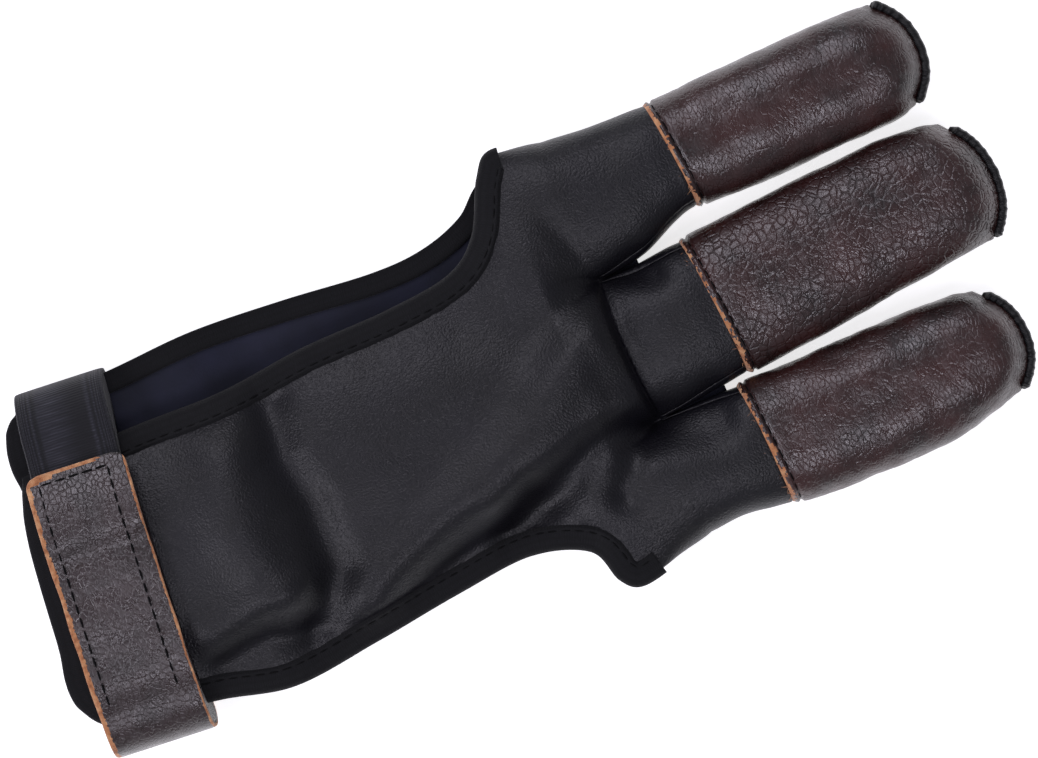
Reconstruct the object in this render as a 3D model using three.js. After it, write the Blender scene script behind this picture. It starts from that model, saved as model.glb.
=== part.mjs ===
import * as THREE from 'three';

// Archery glove for three fingers, lying on its back panel with the string leather up.
// X runs to the fingertips, Y to the thumb side and Z up. Lengths are in millimetres.

// Sizes of the hand part
const palmLength = 136;
const knuckleWidth = 96;
const domeRise = 7.5;
const edgeHeight = 11.2;
const wristBulge = 5.3;
const creaseDip = 2.2;

// Sizes of the fingers
const fingerHeight = 15.5;
const seamHeight = 6.2;
const endRound = 5.2;
const noseLength = 20;
const stubTuck = 6;
const stubNarrowing = 3;
const indexWebReach = 9.2;
const ringWebReach = 11;

// Walls, tapes and gaps
const syntheticThickness = 1.2;
const leatherThickness = 1.4;
const tapeThickness = 0.9;
const bindingWidth = 5.5;
const tipBindingWidth = 2.3;
const clearance = 0.3;
const tapeReach = clearance + tapeThickness;
const tapeBend = 0.6;

// Sizes of the wrist strap
const strapWidth = 20.5;
const elasticThickness = 1.6;
const strapThickness = 1.8;
const strapPlace = 17;
const strapSlant = 0.1;
const strapTop = 20.5;
const strapOverlap = 12;
const thumbFoldSlack = 3.2;
const littleFoldSlack = 6.3;
const foldRadius = 2;
const closureLength = 12;
const closureStep = 6;
const tabStep = 4;

// Angles of the seams round a finger, from its side line, in degrees
const halfTurn = 180;
const gussetSeamAngle = 25;
const gussetSeamGap = 1.2;
const sideSeamGap = 0.5;

// Numbers of steps in the meshes
const frontSteps = 27;
const backSteps = 17;
const columnsPerFinger = [7, 6, 7];
const ringSteps = 22;

// Outlines of the two hand panels at the outside of their edge tape, as shares of
// palmLength from the wrist and of knuckleWidth from the middle finger's line
const frontThumbOutline = [
  { along: 0.044, side: 0.234 },
  { along: 0.210, side: 0.253 },
  { along: 0.379, side: 0.244 },
  { along: 0.526, side: 0.260 },
  { along: 0.673, side: 0.260 },
  { along: 0.783, side: 0.276 },
  { along: 0.842, side: 0.333 },
  { along: 0.886, side: 0.446 },
  { along: 0.923, side: 0.493 },
  { along: 1.000, side: 0.465 },
];
const frontLittleOutline = [
  { along: 0.011, side: -0.344 },
  { along: 0.180, side: -0.380 },
  { along: 0.305, side: -0.422 },
  { along: 0.452, side: -0.406 },
  { along: 0.599, side: -0.383 },
  { along: 0.724, side: -0.372 },
  { along: 0.812, side: -0.417 },
  { along: 0.835, side: -0.500 },
  { along: 0.864, side: -0.534 },
  { along: 0.923, side: -0.510 },
  { along: 1.000, side: -0.482 },
];
const backThumbOutline = [
  { along: 0.062, side: 0.401 },
  { along: 0.221, side: 0.391 },
  { along: 0.379, side: 0.396 },
  { along: 0.526, side: 0.378 },
  { along: 0.673, side: 0.352 },
  { along: 0.761, side: 0.354 },
  { along: 0.835, side: 0.385 },
  { along: 0.893, side: 0.443 },
  { along: 1.000, side: 0.465 },
];
const backLittleOutline = [
  { along: 0.040, side: -0.323 },
  { along: 0.180, side: -0.344 },
  { along: 0.305, side: -0.375 },
  { along: 0.452, side: -0.375 },
  { along: 0.599, side: -0.359 },
  { along: 0.724, side: -0.354 },
  { along: 0.820, side: -0.396 },
  { along: 0.879, side: -0.474 },
  { along: 1.000, side: -0.482 },
];

// Fingers: each has its length from the knuckle line, its width, the place and slant of
// its leather's base edge, and sections whose lengths are shares of the finger's length,
// whose centre is a share of knuckleWidth and whose half width is a share of its width
const fingers = {
  index: {
    length: 83.7, width: 25.8, tipBase: 23.9, baseSlant: -1.1,
    sections: [
      { along: 0.000, side: 0.299, half: 0.614 },
      { along: 0.125, side: 0.296, half: 0.581 },
      { along: 0.269, side: 0.317, half: 0.484 },
      { along: 0.424, side: 0.317, half: 0.494 },
      { along: 0.783, side: 0.320, half: 0.496 },
      { along: 0.878, side: 0.320, half: 0.481 },
      { along: 0.950, side: 0.325, half: 0.438 },
    ],
  },
  middle: {
    length: 87.2, width: 31, tipBase: 19.2, baseSlant: -1.2,
    sections: [
      { along: 0.000, side: -0.042, half: 0.506 },
      { along: 0.201, side: -0.031, half: 0.516 },
      { along: 0.407, side: -0.020, half: 0.519 },
      { along: 0.579, side: -0.009, half: 0.506 },
      { along: 0.751, side: 0.000, half: 0.490 },
      { along: 0.866, side: 0.002, half: 0.465 },
      { along: 0.946, side: -0.006, half: 0.423 },
    ],
  },
  ring: {
    length: 79.3, width: 29.4, tipBase: 17.4, baseSlant: -0.6,
    sections: [
      { along: 0.000, side: -0.350, half: 0.432 },
      { along: 0.107, side: -0.348, half: 0.442 },
      { along: 0.246, side: -0.358, half: 0.481 },
      { along: 0.448, side: -0.367, half: 0.498 },
      { along: 0.700, side: -0.368, half: 0.488 },
      { along: 0.851, side: -0.359, half: 0.444 },
      { along: 0.939, side: -0.358, half: 0.384 },
    ],
  },
};

// Folds of the palm panel: a ridge or valley from one place to another, in shares of
// palmLength and knuckleWidth, its spread and rise as shares of fingerHeight
const folds = [
  { fromAlong: 0.43, fromSide: 0.15, toAlong: 0.44, toSide: -0.02, spread: 0.32, rise: -0.14 },
  { fromAlong: 0.45, fromSide: -0.05, toAlong: 0.39, toSide: -0.31, spread: 0.42, rise: -0.17 },
  { fromAlong: 0.49, fromSide: -0.29, toAlong: 0.64, toSide: -0.18, spread: 0.35, rise: 0.13 },
  { fromAlong: 0.67, fromSide: -0.15, toAlong: 0.93, toSide: 0.00, spread: 0.41, rise: 0.12 },
  { fromAlong: 0.98, fromSide: -0.20, toAlong: 0.86, toSide: -0.12, spread: 0.33, rise: -0.19 },
  { fromAlong: 0.86, fromSide: -0.12, toAlong: 0.56, toSide: -0.30, spread: 0.36, rise: -0.18 },
  { fromAlong: 0.97, fromSide: -0.22, toAlong: 0.81, toSide: -0.29, spread: 0.30, rise: 0.11 },
  { fromAlong: 0.97, fromSide: -0.23, toAlong: 0.87, toSide: -0.35, spread: 0.30, rise: -0.11 },
  { fromAlong: 0.29, fromSide: 0.08, toAlong: 0.33, toSide: -0.18, spread: 0.47, rise: 0.12 },
  { fromAlong: 1.00, fromSide: 0.14, toAlong: 0.95, toSide: 0.28, spread: 0.33, rise: -0.13 },
];

// Shares of palmLength over which the panels change shape
const archStart = 0.6;
const frontSeamStart = 0.84;
const backSeamStart = 0.93;
const bindingEnd = 0.93;
const liftEnd = 0.26;
const liftFade = 0.16;
const bulgeFade = 0.3;
const strapShare = liftEnd / 2;
const frontLiftShare = 0.45;

// Heights that follow from the layers of the strap and the tape under the back panel
const stubInset = leatherThickness + clearance;
const strapStack = strapThickness + clearance + elasticThickness + clearance + tapeReach;
const strapLift = strapStack - stubInset;
const frontLift = strapLift * frontLiftShare;

const textile = (color, roughness) =>
  new THREE.MeshStandardMaterial({ color, roughness, metalness: 0 });
const blackSynthetic = textile(0x2c2c31, 0.55);
const knitTape = textile(0x18181b, 0.9);
const brownLeather = textile(0x463029, 0.5);
const wovenElastic = textile(0x1b1b1e, 0.85);
const edgeCord = textile(0x141416, 0.6);

const glove = new THREE.Group();

const lerp = THREE.MathUtils.lerp;
const smooth = (value) => THREE.MathUtils.smoothstep(value, 0, 1);
const signedPower = (value, power) => Math.sign(value) * Math.abs(value) ** power;

// Closed solid between an outer and an inner grid of points, with rims at open edges
function sheetSolid(rows, columns, pointAt, keep = () => true, wrapped = false) {
  const positions = [];
  const indices = [];
  const numbers = new Map();
  const cellColumns = wrapped ? columns : columns - 1;
  const kept = (row, column) => {
    const inside = row >= 0 && row < rows - 1 && (wrapped || (column >= 0 && column < cellColumns));
    return inside && keep(row, (column + columns) % columns);
  };
  const vertex = (row, column, side) => {
    const key = `${row},${column % columns},${side}`;
    if (!numbers.has(key)) {
      numbers.set(key, positions.length / 3);
      positions.push(...pointAt(row, column % columns, side).toArray());
    }
    return numbers.get(key);
  };
  const distance = (a, b) => Math.hypot(...[0, 1, 2].map((axis) =>
    positions[a * 3 + axis] - positions[b * 3 + axis]));
  // Each quad is split along its shorter diagonal, so that layers on each other match
  const quad = (a, b, c, d) => {
    if (distance(a, c) < distance(b, d)) indices.push(a, b, c, a, c, d);
    else indices.push(a, b, d, b, c, d);
  };
  for (let row = 0; row < rows - 1; row += 1) {
    for (let column = 0; column < cellColumns; column += 1) {
      if (!kept(row, column)) continue;
      const corners = [[row, column], [row + 1, column], [row + 1, column + 1], [row, column + 1]];
      const outer = corners.map(([r, c]) => vertex(r, c, 0));
      const inner = corners.map(([r, c]) => vertex(r, c, 1));
      quad(...outer);
      quad(...inner.toReversed());
      const neighbours = [[row, column - 1], [row + 1, column], [row, column + 1], [row - 1, column]];
      neighbours.forEach(([r, c], edge) => {
        const next = (edge + 1) % 4;
        if (!kept(r, c)) quad(outer[next], outer[edge], inner[edge], inner[next]);
      });
    }
  }
  return facingOut(positions, indices);
}

// Geometry whose triangles are turned so that the volume inside is positive
function facingOut(positions, indices) {
  const corner = (number) => new THREE.Vector3().fromArray(positions, indices[number] * 3);
  let volume = 0;
  for (let i = 0; i < indices.length; i += 3) {
    volume += corner(i).dot(corner(i + 1).cross(corner(i + 2)));
  }
  const geometry = new THREE.BufferGeometry();
  geometry.setAttribute('position', new THREE.Float32BufferAttribute(positions, 3));
  geometry.setIndex(volume > 0 ? indices : indices.toReversed());
  geometry.computeVertexNormals();
  return geometry;
}

function addPiece(name, geometry, material) {
  const mesh = new THREE.Mesh(geometry, material);
  mesh.name = name;
  glove.add(mesh);
}

// Edge line of a hand panel in plan, moved inwards from the tape's outside
class PanelEdge {
  constructor(outline, inwards) {
    const points = outline.map(({ along, side }) =>
      new THREE.Vector2((along - 1) * palmLength, side * knuckleWidth));
    this.curve = new THREE.SplineCurve(points);
    this.inwards = inwards;
  }

  pointAt(share, reach) {
    const tangent = this.curve.getTangentAt(share);
    const inward = new THREE.Vector2(tangent.y, -tangent.x).multiplyScalar(this.inwards);
    const tapeFade = 1 - smooth((share - bindingEnd) / (1 - bindingEnd));
    return this.curve.getPointAt(share).addScaledVector(inward, (tapeReach - reach) * tapeFade);
  }
}

const frontEdges = [new PanelEdge(frontThumbOutline, 1), new PanelEdge(frontLittleOutline, -1)];
const backEdges = [new PanelEdge(backThumbOutline, 1), new PanelEdge(backLittleOutline, -1)];

// Value of a named column of a finger's table at a distance from the knuckle line
function sectionValue(finger, distance, column) {
  const rows = finger.sections;
  const along = distance / finger.length;
  const after = rows.findIndex((row) => row.along > along);
  if (after === -1) return rows.at(-1)[column];
  if (after === 0) return rows[0][column];
  const share = (along - rows[after - 1].along) / (rows[after].along - rows[after - 1].along);
  return lerp(rows[after - 1][column], rows[after][column], share);
}

// Point of a finger's section at an angle from its thumb side, below the given inset
function fingerPoint(finger, distance, angle, inset, heights) {
  const across = signedPower(Math.cos(angle), 0.85);
  const centre = sectionValue(finger, distance, 'side') * knuckleWidth;
  const half = sectionValue(finger, distance, 'half') * finger.width;
  const lift = Math.sin(angle) > 0
    ? (heights.above - inset) * Math.sin(angle) ** 0.8
    : -(heights.below - inset) * Math.abs(Math.sin(angle)) ** 0.5;
  return new THREE.Vector3(distance, centre + (half - inset) * across, seamHeight + lift);
}

const tipHeights = { above: fingerHeight - seamHeight, below: seamHeight };
const stubNarrowEnd = (finger) => finger.tipBase - Math.abs(finger.baseSlant) - 2 * clearance;
const stubEnd = (finger) => finger.tipBase + stubTuck;

// Black finger stub: it narrows just before it enters the leather
function stubPoint(finger, distance, angle, depth) {
  const narrowing = smooth((distance - stubNarrowEnd(finger) + stubNarrowing) / stubNarrowing);
  const inset = stubInset * narrowing;
  const heights = {
    above: tipHeights.above,
    below: tipHeights.below - stubInset + inset,
  };
  return fingerPoint(finger, distance, angle, inset + depth, heights);
}

function stubStations(finger) {
  const narrowEnd = stubNarrowEnd(finger);
  const end = stubEnd(finger);
  return [0, indexWebReach / 2, indexWebReach, ringWebReach, narrowEnd - stubNarrowing,
    narrowEnd, (narrowEnd + end) / 2, end];
}

// Columns across the glove, from the index finger's outer side to the ring finger's
const fingerList = [fingers.index, fingers.middle, fingers.ring];
const columns = fingerList.flatMap((finger, number) => {
  const count = columnsPerFinger[number];
  const seam = gussetSeamAngle + gussetSeamGap;
  const first = number === 0 ? sideSeamGap : seam;
  const last = halfTurn - (number === fingerList.length - 1 ? sideSeamGap : seam);
  return Array.from({ length: count }, (_, step) => ({
    finger,
    number,
    angle: THREE.MathUtils.degToRad(lerp(first, last, step / (count - 1))),
    step: step / (count - 1),
  }));
});
const lastColumn = columns.length - 1;
const gapColumns = [columnsPerFinger[0] - 1, columnsPerFinger[0] + columnsPerFinger[1] - 1];

// Share of the way from the thumb edge to the little finger's edge, for each column
function columnShare(column, edges, share, arch, facing) {
  const width = edges[0].pointAt(share, 0).distanceTo(edges[1].pointAt(share, 0));
  const border = bindingWidth / width;
  const even = lerp(border, 1 - border, (column - 1) / (lastColumn - 2));
  const flat = column === 0 ? 0 : column === lastColumn ? 1 : even;
  const sideAt = (place) => stubPoint(place.finger, 0, facing * place.angle, 0).y;
  const first = sideAt(columns[0]);
  const last = sideAt(columns[lastColumn]);
  return lerp(flat, (first - sideAt(columns[column])) / (first - last), arch);
}

function foldRise(x, y) {
  let rise = 0;
  for (const fold of folds) {
    const from = new THREE.Vector3((fold.fromAlong - 1) * palmLength, fold.fromSide * knuckleWidth);
    const to = new THREE.Vector3((fold.toAlong - 1) * palmLength, fold.toSide * knuckleWidth);
    const place = new THREE.Vector3(x, y);
    const nearest = new THREE.Line3(from, to).closestPointToPoint(place, true, new THREE.Vector3());
    const spread = fold.spread * fingerHeight;
    rise += fold.rise * fingerHeight * Math.exp(-nearest.distanceToSquared(place) / spread ** 2);
  }
  return rise;
}

const strapLiftAt = (share) => smooth((liftEnd + liftFade - share) / liftFade);

// Point of the palm panel between wrist and knuckle line, a depth below its outside;
// lift raises it, reach moves the long edges and wristReach the wrist edge outwards
function frontBodyPoint(share, column, depth, lift = 0, reach = 0, wristReach = 0) {
  const arch = smooth((share - archStart) / (1 - archStart));
  const seam = smooth((share - frontSeamStart) / (1 - frontSeamStart));
  const place = columns[column];
  const across = columnShare(column, frontEdges, share, arch, 1);
  const point = frontEdges[0].pointAt(share, reach).lerp(frontEdges[1].pointAt(share, reach), across);
  const curve = Math.sin(Math.PI * across);
  const bulge = wristBulge * curve ** 0.6 * Math.max(0, 1 - share / bulgeFade) ** 2;
  const dip = place.number === 1 ? creaseDip * Math.sin(Math.PI * place.step) * seam : 0;
  const x = point.x - bulge - dip - wristReach;
  const section = stubPoint(place.finger, 0, place.angle, depth);
  const outside = stubPoint(place.finger, 0, place.angle, 0);
  const y = point.y + (section.y - outside.y) * seam;
  const dome = edgeHeight + frontLift * strapLiftAt(share) + domeRise * curve ** 0.8;
  const height = dome - depth + foldRise(x, y) * curve ** 0.5;
  return new THREE.Vector3(x, y, lerp(height, section.z, seam) + lift);
}

// Point of the back panel, a depth above its underside; lift lowers it
function backBodyPoint(share, column, depth, lift = 0, reach = 0, wristReach = 0) {
  const arch = smooth((share - archStart) / (1 - archStart));
  const seam = smooth((share - backSeamStart) / (1 - backSeamStart));
  const place = columns[column];
  const across = columnShare(column, backEdges, share, arch, -1);
  const point = backEdges[0].pointAt(share, reach).lerp(backEdges[1].pointAt(share, reach), across);
  const section = stubPoint(place.finger, 0, -place.angle, depth);
  const outside = stubPoint(place.finger, 0, -place.angle, 0);
  const y = point.y + (section.y - outside.y) * seam;
  const height = stubInset + strapLift * strapLiftAt(share) + depth;
  return new THREE.Vector3(point.x - wristReach, y, lerp(height, section.z, seam) - lift);
}

// Shares of the rows from the wrist to the knuckle line, the first a binding wide
const rowShares = (steps) => {
  const first = bindingWidth / frontEdges[0].curve.getLength();
  return [0, ...Array.from({ length: steps }, (_, i) => lerp(first, 1, i / (steps - 1)))];
};
const frontRows = rowShares(frontSteps);
const backRows = rowShares(backSteps);
const stubRowCount = stubStations(fingers.index).length;

// A hand panel's grid: its rows run to the knuckle line, then along the stubs
function panelPoint(rows, bodyPoint, facing) {
  return (row, column, side) => {
    const depth = side * syntheticThickness;
    const { finger, angle } = columns[column];
    if (row < rows.length) return bodyPoint(rows[row], column, depth);
    const distance = stubStations(finger)[row - rows.length + 1];
    return stubPoint(finger, distance, facing * angle, depth);
  };
}

const frontKnuckleRow = frontRows.length - 1;
const backKnuckleRow = backRows.length - 1;

function buildPanels() {
  const front = panelPoint(frontRows, frontBodyPoint, 1);
  const back = panelPoint(backRows, backBodyPoint, -1);
  const palmKept = (row, column) => row < frontKnuckleRow
    || (!gapColumns.includes(column) && columns[column].number !== 1);
  const backKept = (row, column) => {
    const beyond = row - backKnuckleRow;
    if (column === gapColumns[0]) return beyond < stubStations(fingers.index).indexOf(indexWebReach);
    if (column === gapColumns[1]) return beyond < stubStations(fingers.ring).indexOf(ringWebReach);
    return true;
  };
  const count = columns.length;
  const frontCount = frontRows.length + stubRowCount - 1;
  const backCount = backRows.length + stubRowCount - 1;
  addPiece('palm_panel', sheetSolid(frontCount, count, front, palmKept), blackSynthetic);
  addPiece('back_panel', sheetSolid(backCount, count, back, backKept), blackSynthetic);

  const firstMiddle = gapColumns[0] + 1;
  const middlePoint = (row, column, side) => {
    const point = front(frontKnuckleRow + row, firstMiddle + column, side);
    if (row === 0) point.x += 2 * clearance;
    return point;
  };
  addPiece('middle_front_panel', sheetSolid(stubRowCount, columnsPerFinger[1], middlePoint), blackSynthetic);
}

// Gusset between two fingers: a strip down one finger's side, round the crotch and back
function buildGusset(name, near, far, webReach) {
  const acrossSteps = 4;
  const seam = THREE.MathUtils.degToRad(gussetSeamAngle - gussetSeamGap);
  const crotch = 3 * clearance + syntheticThickness;
  const legRows = (finger, foot) => {
    const shoulder = stubNarrowEnd(finger) - stubNarrowing;
    const leg = [3, 2, 1, 0].map((step) => lerp(foot, shoulder, step / 3));
    return [stubEnd(finger), (stubEnd(finger) + stubNarrowEnd(finger)) / 2, stubNarrowEnd(finger), ...leg];
  };
  const legSteps = legRows(near, crotch).length - 1;
  const rows = 2 * legSteps + 1;
  const legPoint = (finger, sign, step, drop, side) => {
    const top = legRows(finger, crotch)[step];
    const bottom = legRows(finger, webReach + crotch)[step];
    const angle = sign > 0 ? lerp(seam, -seam, drop) : lerp(Math.PI - seam, Math.PI + seam, drop);
    const distance = lerp(top, bottom, Math.sin((drop * Math.PI) / 2));
    return stubPoint(finger, distance, angle, side * syntheticThickness);
  };
  const pointAt = (row, column, side) => {
    const drop = column / (acrossSteps - 1);
    if (row < legSteps) return legPoint(near, -1, row, drop, side);
    if (row > legSteps) return legPoint(far, 1, rows - 1 - row, drop, side);
    const last = legSteps;
    const middle = legPoint(near, -1, last, drop, 0).lerp(legPoint(far, 1, last, drop, 0), 0.5);
    middle.x -= side * syntheticThickness;
    return middle;
  };
  addPiece(name, sheetSolid(rows, acrossSteps, pointAt), blackSynthetic);
}

// Height of a leather tip above or below its seam, falling to the flat end seam
const endLayer = leatherThickness + clearance / 2;
function tipPoint(finger, share, angle, inset, reach = 0) {
  const across = signedPower(Math.cos(angle), 0.85);
  const base = finger.tipBase + finger.baseSlant * across;
  const endAt = (place) => finger.length - tapeReach - endRound * Math.abs(place) ** 2.2;
  const distance = lerp(base, endAt(across), share);
  const noseStart = 1 - noseLength / (finger.length - finger.tipBase);
  const nose = Math.max(0, (share - noseStart) / (1 - noseStart));
  const full = 1 - nose ** 2.4;
  const heights = {
    above: lerp(endLayer, tipHeights.above, full),
    below: lerp(endLayer, tipHeights.below, full),
  };
  const point = fingerPoint(finger, distance, angle, inset, heights);
  const slope = -Math.sign(across) * endRound * 2.2 * Math.abs(across) ** 1.2;
  const outward = new THREE.Vector2(finger.width / 2, -slope).normalize();
  point.x += outward.x * reach;
  point.y += outward.y * reach;
  return point;
}

function buildTip(name, finger) {
  const span = finger.length - tapeReach - finger.tipBase;
  const noseStart = 1 - noseLength / span;
  const seamShare = 1 - tipBindingWidth / span;
  const shares = [0, noseStart / 3, (2 * noseStart) / 3, noseStart, lerp(noseStart, seamShare, 0.35),
    lerp(noseStart, seamShare, 0.7), seamShare, 1];
  const leatherPoint = (row, column, side) => {
    const angle = (2 * Math.PI * column) / ringSteps;
    return tipPoint(finger, shares[row], angle, side * leatherThickness);
  };
  const shell = sheetSolid(shares.length, ringSteps, leatherPoint, () => true, true);
  addPiece(`${name}_tip`, shell, brownLeather);

  const half = ringSteps / 2;
  const channel = [
    { share: seamShare, turn: 1, beyond: 0 },
    { share: 1, turn: 1, beyond: 0 },
    { share: 1, turn: 1, beyond: 1 },
    { share: 1, turn: -1, beyond: 1 },
    { share: 1, turn: -1, beyond: 0 },
    { share: seamShare, turn: -1, beyond: 0 },
  ];
  const bindingPoint = (row, column, side) => {
    const { share, turn, beyond } = channel[column];
    const away = side === 0 ? tapeReach : clearance;
    const angle = (turn * Math.PI * (row + 1)) / half;
    return tipPoint(finger, share, angle, beyond ? 0 : -away, beyond * away);
  };
  addPiece(`${name}_tip_binding`, sheetSolid(half - 1, channel.length, bindingPoint), edgeCord);
}

// Tape folded over an edge: channel columns run from the outside round to the inside
function buildLongBinding(name, rows, bodyPoint, edgeColumn, innerColumn) {
  const gapShare = clearance / frontEdges[0].curve.getLength();
  const last = rows.findLastIndex((share) => share <= bindingEnd);
  const shares = [rows[1] + 2 * gapShare, ...rows.slice(2, last + 1)];
  const pointAt = (row, column, side) => {
    const away = side === 0 ? tapeReach : clearance;
    const bend = away * tapeBend;
    const channel = [
      [innerColumn, 0, away, 0],
      [edgeColumn, 0, away, 0],
      [edgeColumn, 0, bend, away],
      [edgeColumn, syntheticThickness, -bend, away],
      [edgeColumn, syntheticThickness, -away, 0],
      [innerColumn, syntheticThickness, -away, 0],
    ];
    return bodyPoint(shares[row], ...channel[column]);
  };
  addPiece(name, sheetSolid(shares.length, 6, pointAt), knitTape);
}

function buildWristBinding(name, bodyPoint, rows) {
  const pointAt = (column, step, side) => {
    const away = side === 0 ? tapeReach : clearance;
    const bend = away * tapeBend;
    const channel = [
      [rows[1], 0, away, 0],
      [0, 0, away, 0],
      [0, 0, bend, away],
      [0, syntheticThickness, -bend, away],
      [0, syntheticThickness, -away, 0],
      [rows[1], syntheticThickness, -away, 0],
    ];
    const [share, depth, lift, wristReach] = channel[step];
    return bodyPoint(share, column, depth, lift, 0, wristReach);
  };
  addPiece(name, sheetSolid(columns.length, 6, pointAt), knitTape);
}

// Highest point of the palm panel's tape under the strap near a place along the strap
const strapCentre = (place) => -palmLength + strapPlace + strapSlant * (place - strapTop);
const strapWindow = 4;
const underStrap = [];
for (let share = 0; share <= liftEnd; share += liftEnd / 24) {
  for (let column = 0; column <= lastColumn; column += 1) {
    underStrap.push(frontBodyPoint(share, column, 0, tapeReach));
  }
}
function heightUnderStrap(place) {
  const near = underStrap.filter((point) => Math.abs(point.y - place) < strapWindow
    && Math.abs(point.x - strapCentre(place)) < strapWidth / 2 + strapWindow);
  return Math.max(...near.map((point) => point.z)) + clearance;
}

// Band of even thickness along a path of places along the strap and heights
function addBand(name, path, thickness, material) {
  const centres = path.map(([place, height]) => new THREE.Vector2(place, height));
  const pointAt = (row, column, side) => {
    const before = centres[Math.max(0, row - 1)];
    const after = centres[Math.min(centres.length - 1, row + 1)];
    const along = after.clone().sub(before).normalize();
    const away = (side === 0 ? 0.5 : -0.5) * thickness;
    const place = centres[row].clone().add(new THREE.Vector2(along.y, -along.x).multiplyScalar(away));
    const across = (column / 2 - 0.5) * strapWidth;
    return new THREE.Vector3(strapCentre(place.x) + across, place.x - strapSlant * across, place.y);
  };
  addPiece(name, sheetSolid(path.length, 3, pointAt), material);
}

function buildStrap() {
  const tabRise = elasticThickness + clearance;
  const overlapEnd = strapTop - strapOverlap;
  const littleEdge = frontEdges[1].pointAt(strapShare, 0).y;
  const upperPlaces = Array.from({ length: 12 }, (_, i) => lerp(strapTop, littleEdge + strapWindow, i / 11));
  const tabUpper = upperPlaces.map((place) => {
    const raised = tabRise * smooth((place - overlapEnd + tabStep + foldRadius) / tabStep);
    return [place, heightUnderStrap(place) + strapThickness / 2 + raised];
  });
  const tabEdge = tabUpper.at(-1)[1];
  const tabFloor = strapThickness / 2;
  const tabFold = littleEdge - littleFoldSlack + tabFloor;
  addBand('leather_strap', [
    ...tabUpper,
    [littleEdge - clearance, tabEdge - 1],
    [lerp(littleEdge, tabFold, 0.75), lerp(tabEdge, tabFloor, 0.2)],
    [tabFold, lerp(tabEdge, tabFloor, 0.45)],
    [tabFold, lerp(tabEdge, tabFloor, 0.8)],
    [tabFold + foldRadius, tabFloor],
    [tabFold + 2 * foldRadius, tabFloor],
    [tabFold + 2 * foldRadius + closureLength, tabFloor],
  ], strapThickness, brownLeather);

  const floor = elasticThickness / 2;
  const thumbEdge = frontEdges[0].pointAt(strapShare, tapeReach).y;
  const elasticEdge = heightUnderStrap(thumbEdge - clearance) + floor;
  const closureHeight = strapThickness + clearance + floor;
  const closureStart = tabFold + 2 * foldRadius + closureLength;
  const elasticFold = backEdges[0].pointAt(strapShare, tapeReach).y + thumbFoldSlack - floor;
  const elasticUpper = Array.from({ length: 5 }, (_, i) => lerp(overlapEnd, thumbEdge, i / 4));
  addBand('elastic_band', [
    ...elasticUpper.map((place) => [place, heightUnderStrap(place) + floor]),
    [lerp(thumbEdge, elasticFold, 0.5), elasticEdge - 1.2],
    [lerp(thumbEdge, elasticFold, 0.85), lerp(elasticEdge, floor, 0.25)],
    [elasticFold, lerp(elasticEdge, floor, 0.5)],
    [elasticFold, lerp(elasticEdge, floor, 0.8)],
    [elasticFold - foldRadius, floor],
    [elasticFold - 2 * foldRadius, floor],
    [lerp(elasticFold, closureStart, 0.5), floor],
    [closureStart + foldRadius + closureStep, floor],
    [closureStart + foldRadius, closureHeight],
    [closureStart, closureHeight],
    [tabFold + 2 * foldRadius + clearance, closureHeight],
  ], elasticThickness, wovenElastic);
}

buildPanels();
buildGusset('gusset_index_middle', fingers.index, fingers.middle, indexWebReach);
buildGusset('gusset_middle_ring', fingers.middle, fingers.ring, ringWebReach);
Object.entries(fingers).forEach(([name, finger]) => buildTip(name, finger));
buildLongBinding('front_thumb_binding', frontRows, frontBodyPoint, 0, 1);
buildLongBinding('front_little_binding', frontRows, frontBodyPoint, lastColumn, lastColumn - 1);
buildLongBinding('back_thumb_binding', backRows, backBodyPoint, 0, 1);
buildLongBinding('back_little_binding', backRows, backBodyPoint, lastColumn, lastColumn - 1);
buildWristBinding('front_wrist_binding', frontBodyPoint, frontRows);
buildWristBinding('back_wrist_binding', backBodyPoint, backRows);
buildStrap();

// Origin at the middle of the bounding box's underside
const bounds = new THREE.Box3().setFromObject(glove);
const middle = bounds.getCenter(new THREE.Vector3());
glove.position.set(-middle.x, -middle.y, -bounds.min.z);

export default glove;
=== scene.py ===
"""Archery glove with leather fingertips, lying flat with its string leather up."""
import logging
import math
import random
from bisect import bisect_left
from dataclasses import dataclass
from enum import Enum
from functools import lru_cache
from typing import Callable, Sequence

import bmesh
import bpy
from mathutils import Matrix, Vector, noise
from mathutils.bvhtree import BVHTree


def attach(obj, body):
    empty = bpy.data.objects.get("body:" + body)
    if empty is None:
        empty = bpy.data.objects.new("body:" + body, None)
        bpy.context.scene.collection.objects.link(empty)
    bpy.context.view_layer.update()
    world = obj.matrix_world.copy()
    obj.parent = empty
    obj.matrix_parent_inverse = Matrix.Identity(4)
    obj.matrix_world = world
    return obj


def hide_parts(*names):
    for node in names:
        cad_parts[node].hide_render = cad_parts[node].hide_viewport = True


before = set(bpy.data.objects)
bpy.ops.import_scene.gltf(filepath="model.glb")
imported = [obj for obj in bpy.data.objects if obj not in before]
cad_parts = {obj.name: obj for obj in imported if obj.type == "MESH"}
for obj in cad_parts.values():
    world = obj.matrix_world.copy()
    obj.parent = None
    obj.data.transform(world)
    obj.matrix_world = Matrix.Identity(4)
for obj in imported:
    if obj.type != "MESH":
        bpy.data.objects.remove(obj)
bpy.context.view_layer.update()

log = logging.getLogger("glove")

MM = 0.001
FRAME_SHIFT = Vector((25.932, 1.648, 0.0))
FRONT, BACK = 1.0, -1.0
THUMB_SIDE, LITTLE_SIDE = 0, 1
WAVE_OF_1_MM = 0.314

Place = Callable[[float, float], Vector]
Pair = tuple[float, float]
Table = tuple[Pair, ...]
Mesh = bmesh.types.BMesh
Material = bpy.types.Material
Socket = bpy.types.NodeSocket


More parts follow.
